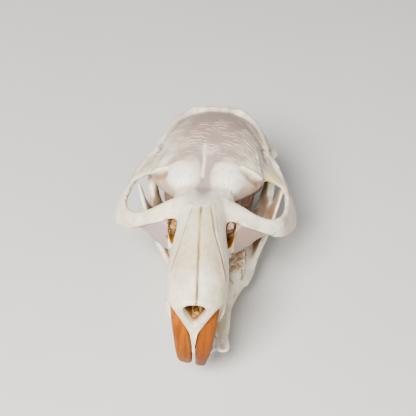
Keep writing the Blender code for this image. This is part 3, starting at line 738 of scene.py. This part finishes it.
# The groove inside the raised rim of the nape, and the crack in its left side
groove = nearer(points, NAPE_GROOVES.values())
rim = np.minimum(*(
    gap_to(points - (side, 1.4, -0.6), NAPE_GROOVES[word]) for word, side in SIDES.items()
))
crack = gap_to(points + 2 * wander, NAPE_CRACK)
lift += 0.2 * hill(rim, 1.1) - NAPE_GROOVE_DEPTH * hill(groove, 0.7)
lift -= CRACK_DEPTH * hill(crack, 0.22)
# The plate in front of each eye socket stands back under the edge of the cheek arch's root
under_edge = np.interp(aside, *PLATE_EDGE) - z
facing_front = over(-normals[:, 1], 0.1, 0.5) * (y > 17) * (y < 30)
plates = over(under_edge, -0.1, 0.3) * over(aside, 6.7, 7.2) * under(aside, 13.5, 15.5)
plates *= facing_front
pinhole = gap_to(points, PLATE_PINHOLE)
lift += 0.15 * hill(under_edge + 0.5, 0.4) * facing_front * (aside > 7)
lift -= PLATE_DEPTH * plates * (1 - 0.7 * over(under_edge, 1.0, 5.0)) + 0.4 * hill(pinhole, 0.28)
# The thin wavy wrinkles that cross the roof of the braincase, as rings round the two bulges
roof = facing_up * over(y, 37.0, 40.5) * under(y, 56, 59.5)
behind = np.minimum(*(np.hypot(x - side * 4.2, y - 32) for side in SIDES.values()))
folds = np.sin(WRINKLE_WAVES * behind + 3.5 * noise(points, 3.2, 11) + 2.2 * noise(points, 1.3, 12))
folds = np.clip(folds, 0, 1) ** 1.5 * roof * (1 - 0.8 * over(y, 48, 54))
folds *= over(noise(points * (0.5, 1, 1), 1.7, 14), -0.35, 0.35)
lift += WRINKLE_HEIGHT * folds + 0.03 * noise(points, 0.8, 16) * over(y, 24, 28) - 0.08 * roof
# The rough inner edges of the cheek arches
inner_edges = over(-outward, 0.2, 0.6) * over(aside, 14.5, 15.5)
inner_edges *= over(y, 31, 33) * under(y, 41, 43)
lift -= 0.5 * np.abs(noise(points, 1.5, 18)) * inner_edges
lift += (0.03 + 0.05 * over(aside, 13.5, 15.5)) * noise(points, 1.6, 17)
set_points(cranium, points + normals * lift[:, None])

# Painted shade, cool grey, in the hollows, on the roof, on the plates before the eye sockets
# and on the animal's left cheek, the shaded side, plus cool tone in random patches; the raised
# bulges, folds, pegs and ridge stay white
top_shade = hill(np.hypot(x - 0.3, np.maximum(np.abs(y - 51) - 4.5, 0)), 7.0) * facing_up
cheeks = over(aside, 15.5, 18.0) * over(outward, 0.3, 0.8)
cool_tone_and_shade = 0.85 * top_shade + 0.5 * valley + 0.9 * plates + 0.45 * roof
cool_tone_and_shade += 0.3 * over(noise(points, 3.5, 21), 0.1, 0.6) + 0.45 * cheeks * over(x, 0, 1)
cool_tone_and_shade += 0.3 * hill(np.hypot(x, y - 26.5), 4.5) * facing_up + 0.6 * hill(groove, 0.7)
cool_tone_and_shade += 0.6 * moat + 0.35 * over(-lift, 0.05, 0.35)
cool_tone_and_shade *= (1 - bulges) * (1 - 0.6 * over(folds, 0.1, 0.6))
cool_tone_and_shade *= (1 - hill(pegs, 0.9)) * (1 - hill(ridge, 0.4))
# The insides of the openings, ochre, and the walls of the eye sockets, which take painted shade
nose_roof = y * 0.27 + 14.3
inside_nose = over(y, 0.9, 2.0) * under(y, 8.0, 9.0) * under(aside, 3.4, 4.2)
inside_nose *= over(z, 7.4, 8.4) * under(z - nose_roof, -0.7, -0.3)
beside, above = aside - 5.75, z - 12.6
to_axis = -(beside * outward + above * normals[:, 2])
in_cheek = over(to_axis / np.hypot(beside, above), 0.0, 0.5) * over(y, 17.6, 20.0)
in_cheek *= under(y, 25, 28) * under(np.hypot(beside, above * 0.5), 1.8, 2.4)
eye_sockets = over(aside, 2.0, 4.0) * over(y, 27, 30) * under(y, 46, 50)
eye_sockets *= under(z, 10.0, 12.5) * under(aside, 12.0, 13.5)
eye_sockets *= under(-normals[:, 2], 0.3, 0.8)
above = z - NAPE_OPENING[0][2]
inside_nape = under(y, 58.0, 60.0) * under(np.hypot(x, above), 3.0, 3.6) * (y > 50)
inside_nape *= over(-x * normals[:, 0] - above * normals[:, 2], 0.0, 1.0)
from_throat = np.linalg.norm((points - (0, 45.0, 4.8)) * (0.6, 0.35, 1), axis=1)
inside_throat = under(from_throat, 0.9, 1.3)
# The nose bones between their side seams, and the lower front of the bulges, which takes painted
# shade
nose_half = np.interp(y, (3, 10, 16, 23), (6, 4.6, 3.2, 1.8))
nose_bones = facing_up * over(y, 4, 9) * under(y, 21, 22.5)
nose_bones *= under(np.abs(x + 0.2) - nose_half, -0.2, 0.1)
low_bulges = over(y, 28.5, 30) * under(y, 37, 39) * under(z, 14.6, 17.4)
low_bulges *= under(aside, 12.5, 13.5) * over(z, 8, 11)
cheek_stain = gap_to(points, [(13.1, 39.0, 12.8), (14.9, 40.9, 12.2)])
peg_stain = gap_to(points, [(7.5, 36.9, 19.2), (9.2, 37.0, 18.3)])
stain(cranium, {
    "cool_tone_and_shade": cool_tone_and_shade,
    "yellow": 0.9 * hill(cheek_stain, 1.7) + 0.6 * hill(peg_stain, 0.7),
    # tan: the seams, the crack and a tone on the nose bones, plus painted shade below the bulges,
    # under the pegs and on the brow's shaded left side
    "tan": (
        0.85 * hill(nose_seam, 0.26)
        + 0.85 * hill(side_seams, 0.3) * (0.6 + 0.6 * over(15 - y, 0, 5))
        + 0.3 * nose_bones
        + 0.2 * over(x, 0, 3) * under(y, 22, 27)
        + 0.5 * low_bulges
        + 0.5 * hill(crack, 0.3)
        + 0.6 * hill(under_pegs, 0.7)
    ),
    # pink: painted shade in the eye sockets, below the bulges, on the roof and on the plate of the
    # animal's left
    "pink": (
        0.9 * eye_sockets
        + low_bulges * (0.35 + 0.25 * (x > 0))
        + 0.14 * top_shade
        + 0.3 * plates * over(x, 0, 1)
    ),
    "ochre": in_cheek + inside_nose,
    # dark: painted shade deep in the openings, the eye sockets and the small holes, and the front of
    # the nose seam and the crack
    "dark": (
        0.9 * hill(nose_seam, 0.2) * under(y, 3.5, 6.5)
        + 0.6 * eye_sockets * under(z, 7, 10)
        + 0.9 * inside_nose * over(y + 0.6 * z, 7.4, 9.4)
        + 0.9 * inside_nape
        + 0.7 * inside_throat
        + 0.9 * hill(pinhole, 0.35)
        + 0.4 * hill(crack, 0.16)
    ),
})
finished(
    cranium, "cranium", in_frame, bone, "bone",
    "braincase", "snout", "zygomatic_arch_left", "zygomatic_arch_right",
)

# Dried scraps: brown remains of gristle and skin that shrank on to the bone as it dried. They
# fill the back of the openings in front of the eyes and lie, as thin scrolls, in the nose.
SCRAPS = [
    ((5.75, 26.2, 12.0), (1.6, 1.1, 3.4)), ((-5.75, 26.2, 12.0), (1.6, 1.1, 3.4)),
    ((5.9, 23.4, 14.0), (0.9, 0.9, 1.1)), ((5.5, 23.6, 12.4), (1.0, 0.9, 1.1)),
    ((-5.5, 23.5, 13.9), (1.0, 0.9, 1.1)), ((-5.9, 23.4, 12.2), (0.9, 0.9, 1.1)),
    ((5.8, 24.0, 10.8), (1.0, 1.0, 1.0)), ((-5.8, 24.0, 10.6), (1.0, 1.0, 1.0)),
    ((0.3, 3.2, 9.3), (0.9, 1.2, 0.5)), ((-0.5, 3.8, 9.9), (0.4, 1.0, 0.4)),
    ((1.1, 3.4, 10.6), (0.35, 0.9, 0.4)), ((-0.2, 2.4, 8.8), (0.4, 0.7, 0.4)),
]
SCRAP_GRAIN = 0.14
SCRAP_BROWN = (0.32, 0.17, 0.035)
SCRAP_SHADE = (0.18, 0.08, 0.008)
SCRAP_PINK = (0.36, 0.22, 0.15)
SCRAP_PINK_SHADE = (0.24, 0.13, 0.08)


def scrap_look():
    look = Look("dried_scraps", 0.55, Coat_Weight=0.2, Coat_Roughness=0.3)
    brown, pink = (
        look.patches(*pair, 0.40, 0.60, 1.6, 4.0)
        for pair in ((SCRAP_BROWN, SCRAP_SHADE), (SCRAP_PINK, SCRAP_PINK_SHADE))
    )
    colour = look.marked(brown, pinkish=pink)
    return look.done(colour, [(look.noise(0.5, 5.0), 0.06)])


scraps = melted(together("scraps", [ball(*scrap) for scrap in SCRAPS]), SCRAP_GRAIN, 2)
points = points_of(scraps)
crumple = 0.35 * noise(points, 1.1, 31) + 0.2 * noise(points, 0.5, 32)
set_points(scraps, points + normals_of(scraps) * crumple[:, None])
mark(scraps, "pinkish", over(points[:, 0], 3, 4) * over(points[:, 2], 11.0, 12.5))
finished(scraps, "dried_scraps", in_frame, scrap_look(), "bone")

# The molars: upright folded prisms of enamel round darker dentine, three teeth in each row, with
# rough cement in the folds. They grow from deep sockets, and the upper and lower rows of a side
# meet at flat worn faces.
MOLAR_PRISMS = (3, 2, 2)
MOLAR_LENGTHS = (6.6, 4.6, 4.6)
MOLAR_ROW_LENGTH = sum(MOLAR_LENGTHS)
MOLAR_GRAIN = 0.11
ENAMEL_RIM = 0.28
DENTINE_DEPTH = 0.35
CEMENT_GRAIN = 0.15
CEMENT_SET_BACK = 0.3
JAW_SWING = 6.0
JAW_PIVOT_Y = 47.0
# For each row: y of its front, x of its front and rear, and its lowest and highest z
MOLAR_ROWS = {
    "upper": (26.4, (4.7, 5.5), (0.15, 4.4)),
    "lower": (23.7, (5.5, 6.9), (-5.0, -0.15)),
}
ENAMEL_CREAM = (0.74, 0.60, 0.46)
ENAMEL_TAN = (0.60, 0.44, 0.31)
DENTINE = (0.58, 0.41, 0.28)
CEMENT_BROWN = (0.38, 0.23, 0.13)
CEMENT_PALE = (0.62, 0.46, 0.33)


def in_jaw(points):
    """As in_frame, for the lower jaw, which is swung a little to its left."""
    points = np.array(points, float)
    c, s = math.cos(math.radians(JAW_SWING)), math.sin(math.radians(JAW_SWING))
    x, y = points[:, 0].copy(), points[:, 1] - JAW_PIVOT_Y
    points[:, 0], points[:, 1] = x * c - y * s, x * s + y * c + JAW_PIVOT_Y
    return in_frame(points)


def molar_outline(row, side):
    """The folded outline of a row of molars, seen from above, going round it once."""
    start, (x_front, x_rear), _ = MOLAR_ROWS[row]
    y, outer, inner = start, [], []
    for count, length in zip(MOLAR_PRISMS, MOLAR_LENGTHS):
        pitch = length / count
        for k in range(count):
            back = (y + (k + 0.5) * pitch - start) / MOLAR_ROW_LENGTH
            middle = x_front + (x_rear - x_front) * back
            at = y + k * pitch
            outer += [(middle + 0.35, at + 0.05), (middle + 1.65, at + pitch * 0.30)]
            inner += [(middle - 0.35, at + pitch * 0.5), (middle - 1.65, at + pitch * 0.8)]
        y += length
    return on_side(outer + inner[::-1], side)


def molar_row(row, side):
    low, high = MOLAR_ROWS[row][2]
    outline = molar_outline(row, side)
    bm = bmesh.new()
    rings = []
    for z in (low, (low + high) / 2, high):
        rings.append([bm.verts.new((px, py, z)) for px, py in outline])
    count = len(outline)
    for lower, upper in zip(rings[:-1], rings[1:]):
        for k in range(count):
            bm.faces.new((lower[k], lower[(k + 1) % count], upper[(k + 1) % count], upper[k]))
    top, bottom = bm.faces.new(rings[-1]), bm.faces.new(rings[0][::-1])
    bmesh.ops.recalc_face_normals(bm, faces=bm.faces)
    biting, bite, hollow = top, high, -DENTINE_DEPTH
    if row == "upper":
        biting, bite, hollow = bottom, low, DENTINE_DEPTH
    bmesh.ops.inset_region(bm, faces=[biting], thickness=ENAMEL_RIM, depth=0.0)
    bmesh.ops.translate(bm, verts=biting.verts, vec=(0, 0, hollow))
    teeth = melted(object_of("molars", bm), MOLAR_GRAIN, 2)
    points, normals = points_of(teeth), normals_of(teeth)
    from_bite = np.abs(points[:, 2] - bite)
    sunk = over(from_bite, 0.1, 0.25) * over(np.abs(normals[:, 2]), 0.5, 0.9)
    mark(teeth, "dentine", sunk * (from_bite < 1))
    return teeth


def molar_look():
    look = Look("molar_enamel", 0.32, Coat_Weight=0.3, Coat_Roughness=0.15)
    colour = look.patches(ENAMEL_CREAM, ENAMEL_TAN, 0.4, 0.65, 1.2, 4.0)
    colour = look.marked(colour, dentine=DENTINE)
    return look.done(colour, [(look.noise(0.4, 4.0, 0.6, (1, 1, 0.2)), 0.04)])


def cement_look():
    look = Look("molar_cement", 0.6, Specular_IOR_Level=0.3)
    colour = look.patches(CEMENT_BROWN, CEMENT_PALE, 0.38, 0.62, 0.9, 5.0)
    return look.done(colour, [(look.noise(0.4, 4.0), 0.08)])


def cement_row(row, side):
    """The rough cement that fills the folds of a row, a little short of the biting edges."""
    y, (x_front, x_rear), (low, high) = MOLAR_ROWS[row]
    if row == "upper":
        low += CEMENT_SET_BACK
    else:
        high -= CEMENT_SET_BACK
    ends = [(x_front, y + 0.4), (x_rear, y + MOLAR_ROW_LENGTH - 0.4)]
    middle, half = (low + high) / 2, (high - low) / 2
    filling = band([(px, py, middle, 0, 0, 1, half, 1.35) for px, py in ends], side, power=5.0,
                   steps=12, caps=(0.3, 0.3))
    melted(filling, CEMENT_GRAIN, 2)
    points = points_of(filling)
    set_points(filling, points + normals_of(filling) * 0.12 * noise(points, 0.8, 51)[:, None])
    return filling


molar_enamel, molar_cement = molar_look(), cement_look()
for word, side in SIDES.items():
    for row, place in (("upper", in_frame), ("lower", in_jaw)):
        teeth, filling = molar_row(row, side), cement_row(row, side)
        finished(teeth, f"molars_{row}_{word}", place, molar_enamel, "bone")
        finished(filling, f"molar_cement_{row}_{word}", place, molar_cement, "bone")

# The lower jaw: two bones, loosely tied at the chin. Each has a deep body that holds the long
# front tooth, an upright blade and a joint stalk behind, and a hook for the chewing muscles.
# Both lie loose under the cranium.
JAW_BODY = [
    (1.7, 10.3, -6.5, 0.0, 0, 1, 1.4, 1.2), (1.85, 13.4, -7.6, 0.0, 0, 1, 2.5, 1.65),
    (2.3, 17.2, -8.6, 0.0, 0, 1, 3.4, 1.7), (2.8, 20.8, -8.6, 0.1, 0, 1, 4.4, 1.8),
    (4.3, 24.4, -7.9, 0.22, 0, 1, 5.0, 2.2), (6.2, 28.5, -7.0, 0.28, 0, 1, 5.0, 2.8),
    (7.7, 34.0, -6.3, 0.2, 0, 1, 4.6, 2.6), (9.2, 39.0, -5.0, 0.1, 0, 1, 4.3, 2.0),
    (11.0, 43.0, -3.4, 0.0, 0, 1, 4.0, 1.2),
]
JAW_BLADE = [
    (9.2, 34.0, -5.6, 0.1, 1, 0, 4.4, 1.7), (11.5, 35.8, -1.6, 0.1, 1, 0, 4.2, 1.1),
    (13.4, 37.0, 2.2, 0.1, 1, 0, 3.3, 0.8), (14.7, 38.4, 5.6, 0.1, 1, 0, 2.1, 0.6),
    (15.7, 40.1, 7.9, 0.1, 1, 0, 1.2, 0.5), (16.2, 41.3, 9.2, 0.1, 1, 0, 0.6, 0.45),
]
JAW_STALK = [
    (10.6, 40.0, -3.6, 0, 1, 0.2, 3.8, 1.3), (12.4, 43.2, 0.6, 0, 1, 0.2, 2.8, 1.2),
    (13.3, 45.4, 3.8, 0, 1, 0.2, 2.0, 1.25), (13.4, 47.2, 6.2, 0, 1, 0.2, 1.5, 1.2),
]
JAW_HOOK = [
    (8.6, 37.5, -7.4, -0.2, 0, 1, 4.0, 1.6), (11.6, 43.6, -8.4, -0.2, 0, 1, 4.2, 1.0),
    (14.0, 49.0, -9.6, -0.2, 0, 1, 4.1, 0.8), (15.5, 53.0, -10.4, -0.2, 0, 1, 2.9, 0.7),
    (16.2, 55.6, -10.2, -0.2, 0, 1, 1.3, 0.6),
]
JAW_WEB = [
    (10.1, 39.5, -4.0, 0.12, 1, 0.1, 5.4, 1.6), (11.6, 41.5, -0.6, 0.12, 1, 0.1, 5.0, 1.1),
    (12.8, 42.5, 1.8, 0.12, 1, 0.1, 4.2, 0.85), (13.6, 42.6, 3.4, 0.12, 1, 0.1, 2.4, 0.6),
]
MUSCLE_RIDGE = [
    (7.3, 24.3, -6.3, 0.8), (8.6, 26.2, -4.9, 0.9), (9.3, 27.8, -3.6, 0.85),
    (10.5, 30.6, -1.9, 0.8), (12.0, 33.2, 0.2, 0.8),
]
# Centres and radii of the head of the joint, the chin and the shoulder before the cheek teeth
JAW_HEAD = ((13.3, 47.9, 6.9), (1.2, 2.0, 1.2))
CHIN = ((1.5, 17.6, -9.2), (1.9, 5.4, 3.4))
JAW_SHOULDER = ((5.3, 23.6, -3.2), (1.7, 1.5, 2.6))
# Each bone stops a little short of the midline, where a block far larger than it is cut away
MIDLINE_GAP = 0.15
FAR = 60
JAW_PINHOLE = [(4.0, 21.0, -6.2), (6.5, 21.0, -6.0)]
BESIDE_TEETH = [(8.6, 25.0, -3.0), (9.8, 33.0, -2.0)]
# Dark lines down the walls of the sockets, as x and y at the bite plane, and how far the walls
# lean for each millimetre up
TOOTH_EDGE = [(7.4, 31), (7.35, 29), (7.35, 26.6), (7.0, 24.6)]
CRESCENT = [(6.75, 23.6), (6.7, 21.8), (6.3, 20.2)]
SLIT = [(3.7, 20.4), (4.1, 19.0)]
WALL_LEAN_OUT = 0.09
WALL_LEAN_FORWARDS = 0.95

for word, side in SIDES.items():
    jaw = melted(together("mandible", [
        band(JAW_BODY, side, caps=(0.4, 0.4)),
        band(JAW_BLADE, side, caps=(0.3, 0.3)),
        band(JAW_STALK, side, caps=(0.3, 0.3)),
        band(JAW_WEB, side, caps=(0.3, 0.3)),
        band(JAW_HOOK, side, caps=(0.3, 0.4)),
        rod(MUSCLE_RIDGE, side, caps=(0.4, 0.4)),
        ball(*JAW_HEAD, side=side),
        ball(*CHIN, side=side),
        ball(*JAW_SHOULDER, side=side),
    ]), COARSE_GRAIN, 6)
    past_midline = block([
        (side * (MIDLINE_GAP - FAR * k), 20 + FAR * j, FAR * i)
        for k in (0, 1) for j in (-1, 1) for i in (-1, 1)
    ])
    carved(jaw, [past_midline])
    melted(jaw, FINE_GRAIN, 2)
    points = points_of(jaw)
    pinhole = gap_to(points, on_side(JAW_PINHOLE, side))
    points += normals_of(jaw) * (0.08 * noise(points, 1.8, 43) - 0.5 * hill(pinhole, 0.4))[:, None]
    # The lowest parts rest on the floor
    points[:, 2] = np.maximum(points[:, 2], -BITE_HEIGHT)
    set_points(jaw, points)
    normals = normals_of(jaw)
    x, y, z = (points * (side, 1, 1)).T
    # The inner side of the blade and the web behind the cheek teeth take painted shade, tan with pink
    # patches
    inward = over(-side * normals[:, 0], 0.2, 0.7) * over(y, 27, 33)
    shaded = inward * under(z, 5.5 + 1.5 * side, 10 + 1.5 * side)
    behind_web = over(y, 36, 38) * under(z, 2.5, 4.5) * under(x - 0.3 * z, 12.2, 13.2)
    shaded = np.maximum(shaded, behind_web)
    painted_shade_beside_teeth = hill(gap_to(points, on_side(BESIDE_TEETH, side)), 2.0)
    leaning = np.stack([x + WALL_LEAN_OUT * z, y + WALL_LEAN_FORWARDS * z], 1)
    leaning += 0.3 * np.stack([noise(points, 1.2, seed) for seed in (44, 45)], 1)
    exposed = over(normals[:, 2], -0.2, 0.3) * over(z, -5.5, -4.0)
    tooth_edge, crescent, slit = (gap_to(leaning, path) for path in (TOOTH_EDGE, CRESCENT, SLIT))
    # Painted shade also lies beside the cheek teeth and in the small hole; cool tone lies in random
    # patches, and dark lines run down the socket walls
    stain(jaw, {
        "tan": 0.8 * shaded + 0.3 * painted_shade_beside_teeth,
        "pink": 0.6 * shaded * over(noise(points, 4.0, 41), -0.4, 0.3),
        "cool_tone_and_shade": 0.4 * over(noise(points, 4.0, 42), 0.1, 0.6),
        "ochre": 0.9 * hill(crescent, 0.4) * exposed,
        "dark": (
            0.8 * hill(pinhole, 0.45)
            + 0.8 * hill(tooth_edge, 0.3) * exposed
            + 0.45 * hill(crescent, 0.25) * exposed
            + 0.7 * hill(slit, 0.25) * exposed
        ),
    })
    finished(jaw, f"jaw_{word}", in_jaw, bone, "bone", f"mandible_{word}")

# The ear bones: one thin hollow bubble of bone on each side below the braincase, with the short
# tube of the ear leading out of it. A seam of bone holds each of them in place.
EAR_BUBBLE = ((7.7, 51.0, 3.2), (4.2, 5.8, 4.0), (0, 0, 24))
EAR_TUBE = [(9.0, 52.4, 4.4, 1.9), (12.2, 54.0, 5.4, 1.5)]
EAR_OPENING = ((13.6, 54.5, 5.7), (2.2, 1.0, 1.0))

for word, side in SIDES.items():
    ear = melted(together("ear", [
        ball(*EAR_BUBBLE, side=side),
        rod(EAR_TUBE, side, caps=(0.2, 0.2)),
    ]), FINE_GRAIN, 6)
    carved(ear, [ball(*EAR_OPENING, side=side)])
    stain(ear, {})
    finished(ear, f"ear_{word}", in_frame, bone, "ear_bone", f"bulla_{word}")

# The front teeth: long curved chisels, rooted deep in the bone, that grow on all through life.
# The upper pair is faced with hard orange enamel, and the lower pair is worn behind to a pale
# scooped slope.
LOWER_INCISOR = [
    (1.85, 12.6, -7.4, 0.95, 1.1), (1.8, 11.0, -6.8, 1.0, 1.25), (1.65, 8.9, -5.95, 1.15, 1.25),
    (1.5, 6.6, -4.9, 1.4, 1.05), (1.42, 5.2, -4.15, 1.45, 0.85), (1.38, 4.3, -3.7, 1.2, 0.6),
    (1.36, 3.8, -3.45, 0.8, 0.4),
]
LOWER_SQUARENESS = 2.4
TOOTH_GRAIN = 0.1
# For the left (1) and right (-1) upper tooth: how much it narrows, and the plane it is worn to
TOOTH_TAPER = {1: 0.11, -1: 0.04}
WORN_TIP = {
    1: ((3.6, 2.0, -6.7), (0.3, 2.0, -7.2), (2.0, 5.0, -5.2)),
    -1: ((3.6, 2.0, -2.4), (0.5, 2.0, -5.2), (2.0, 5.0, -2.0)),
}
WORN_SLOPE = ((1.45, 6.2, -0.95), (1.3, 3.6, 3.2), (-27, 0, 0))
LOWER_BLOTCH = [(1.3, 5.3, -4.0), (1.5, 6.0, -4.4)]
GUM_LINE_Y = 9.3
ORANGE = (0.29, 0.078, 0.0)
BROWN_ORANGE = (0.16, 0.036, 0.0)
ORANGE_PAINTED_SHADE = (0.12, 0.020, 0.0)
TOOTH_BACK = (0.52, 0.40, 0.22)
WORN_CREAM = (0.76, 0.66, 0.56)
WORN_WHITE = (0.82, 0.74, 0.64)
SCOOP_GREY = (0.58, 0.48, 0.45)
BLOTCH_BROWN = (0.26, 0.13, 0.07)


def upper_enamel_look():
    look = Look("orange_enamel", 0.5, Coat_Weight=0.03, Coat_Roughness=0.3, Specular_IOR_Level=0.12)
    colour = look.patches(ORANGE, BROWN_ORANGE, 0.35, 0.7, 1.0, 5.0, 0.6, (1, 1, 0.12))
    # The deep mark lays painted shade in dark orange, and the back mark the tooth's paler back
    colour = look.marked(colour, deep=ORANGE_PAINTED_SHADE, back=TOOTH_BACK)
    return look.done(colour, [(look.noise(0.35, 3.0, 0.5, (1, 1, 0.05)), 0.03)])


def lower_enamel_look():
    look = Look("worn_enamel", 0.3, Coat_Weight=0.4, Coat_Roughness=0.15)
    colour = look.patches(WORN_CREAM, WORN_WHITE, 0.35, 0.7, 1.5, 4.0)
    colour = look.marked(colour, scoop=SCOOP_GREY, blotch=BLOTCH_BROWN)
    return look.done(colour, [(look.noise(0.4, 4.0, 0.6, (1, 0.2, 1)), 0.03)])


def worn_tooth(rows, squareness, side, wear):
    """A front tooth with its worn end cut away."""
    tooth = front_tooth(rows, squareness, side, steps=10, caps=(0.2, 0.2))
    return melted(carved(tooth, [wear]), TOOTH_GRAIN, 3)


def upper_front_tooth(side):
    wear = beyond(WORN_TIP[side], side, False)
    tooth = worn_tooth(UPPER_INCISOR, UPPER_SQUARENESS, side, wear)
    points, normals = points_of(tooth), normals_of(tooth)
    below_bone = np.maximum(2 - points[:, 2], 0)
    across = np.clip(side * points[:, 0] - 0.6, 0, 3.2) / 3.2
    points[:, 0] -= side * TOOTH_TAPER[side] * below_bone * across
    set_points(tooth, points)
    x, y, z = (points * (side, 1, 1)).T
    back = over(normals[:, 1], 0.1, 0.5) * under(z, 3, 5)
    in_nose = over(2.35 - x, 0, 0.25) * over(z, 9.6, 10.2)
    mark(tooth, "back", np.maximum(back, in_nose))
    # Painted shade: the whole left tooth is darker, and each tooth darkens towards its tip on its
    # outer side
    towards_tip = under(z, -6, 3)
    mark(tooth, "deep", 0.25 * (side + 1) + 0.6 * towards_tip * over(x, 0.2, 3))
    return tooth


def lower_front_tooth(side):
    wear = ball(*WORN_SLOPE, side=side)
    tooth = worn_tooth(LOWER_INCISOR, LOWER_SQUARENESS, side, wear)
    points, normals = points_of(tooth), normals_of(tooth)
    x, y, z = (points * (side, 1, 1)).T
    scoop = over(normals[:, 2], 0.2, 0.6) * under(np.abs(x - WORN_SLOPE[0][0]), 0.7, 1.15)
    mark(tooth, "scoop", scoop * under(y, 7.0, 9.2))
    spot = gap_to(points, on_side(LOWER_BLOTCH, side))
    gum_line = hill(y - GUM_LINE_Y, 0.35) * over(x, 1.9, 2.5)
    mark(tooth, "blotch", 0.5 * hill(spot, 0.5) + 0.8 * gum_line)
    return tooth


FRONT_TEETH = {
    "upper": (upper_front_tooth, in_frame, upper_enamel_look(), "orange_enamel"),
    "lower": (lower_front_tooth, in_jaw, lower_enamel_look(), "worn_enamel"),
}
for word, side in SIDES.items():
    for row, (shaped, place, enamel, slot) in FRONT_TEETH.items():
        tooth = shaped(side)
        finished(tooth, f"{row}_front_tooth_{word}", place, enamel, slot, f"{row}_incisor_{word}")

# The view: a pale painted floor, soft light from above and from the left, and the camera in
# front of the skull, looking down on it.
FLOOR_SIZE = 1.2
FLOOR_GREY = (0.50, 0.49, 0.475)
FLOOR_PALE = (0.54, 0.53, 0.515)
bpy.ops.mesh.primitive_plane_add(size=FLOOR_SIZE, location=(0, 0.1, 0))
floor = bpy.context.object
floor.name = "floor"
paint = Look("floor_paint", 0.8)
floor.data.materials.append(paint.done(paint.mix(paint.noise(30, 2.0), FLOOR_GREY, FLOOR_PALE), []))

# Angles in degrees and distances in skull millimetres, with the scale in pixels to a millimetre
VIEW_TURN = 2.1
VIEW_LIFT = 44.0
VIEW_ROLL = 1.85
VIEW_DISTANCE = 220.0
VIEW_SCALE = 4.675
VIEW_MIDDLE = (0.0, 30.0, 26.0)
VIEW_MIDDLE_PIXEL = (204.1, 206.6)
PICTURE = 416
SENSOR = 36


def direction(turn, lift):
    """The way to a light or the camera, from angles in degrees round from the front and up."""
    turn, lift = math.radians(turn), math.radians(lift)
    return Vector(
        (math.sin(turn) * math.cos(lift), -math.cos(turn) * math.cos(lift), math.sin(lift))
    )


turn, roll = math.radians(VIEW_TURN), math.radians(VIEW_ROLL)
back = direction(VIEW_TURN, VIEW_LIFT)
level = Vector((math.cos(turn), math.sin(turn), 0))
rise = back.cross(level)
right = math.cos(roll) * level + math.sin(roll) * rise
up = math.cos(roll) * rise - math.sin(roll) * level
shift = [(PICTURE / 2 - c) / VIEW_SCALE for c in VIEW_MIDDLE_PIXEL]
place = Vector(VIEW_MIDDLE) + VIEW_DISTANCE * back + shift[0] * right - shift[1] * up
camera_data = bpy.data.cameras.new("camera")
camera_data.sensor_width = SENSOR
camera_data.lens = VIEW_SCALE * VIEW_DISTANCE / PICTURE * SENSOR
camera_data.clip_start = 0.01
camera = placed("camera", camera_data)
stand = Matrix((right, up, back)).transposed().to_4x4()
stand.translation = (place - Vector((CENTRE_X, CENTRE_Y, 0))) * MM
camera.matrix_world = stand
bpy.context.scene.camera = camera

world = bpy.data.worlds.new("studio")
bpy.context.scene.world = world
world.use_nodes = True
room_light = world.node_tree.nodes["Background"]
room_light.inputs["Color"].default_value = (1.0, 0.99, 0.98, 1)
room_light.inputs["Strength"].default_value = 0.2


def lamp(name, turn, lift, distance, size, watts, colour):
    """A square soft light, aimed at the skull from a direction in degrees."""
    data = bpy.data.lights.new(name, "AREA")
    data.energy = watts
    data.size = size
    data.color = colour
    out = direction(turn, lift)
    placed(name, data).matrix_world = (
        Matrix.Translation(out * distance) @ out.to_track_quat("Z", "Y").to_matrix().to_4x4()
    )


lamp("key", -24, 50, 0.5, 0.20, 9.5, (1.0, 0.98, 0.94))
lamp("fill", 55, 35, 0.6, 0.40, 1.6, (0.98, 0.98, 1.0))
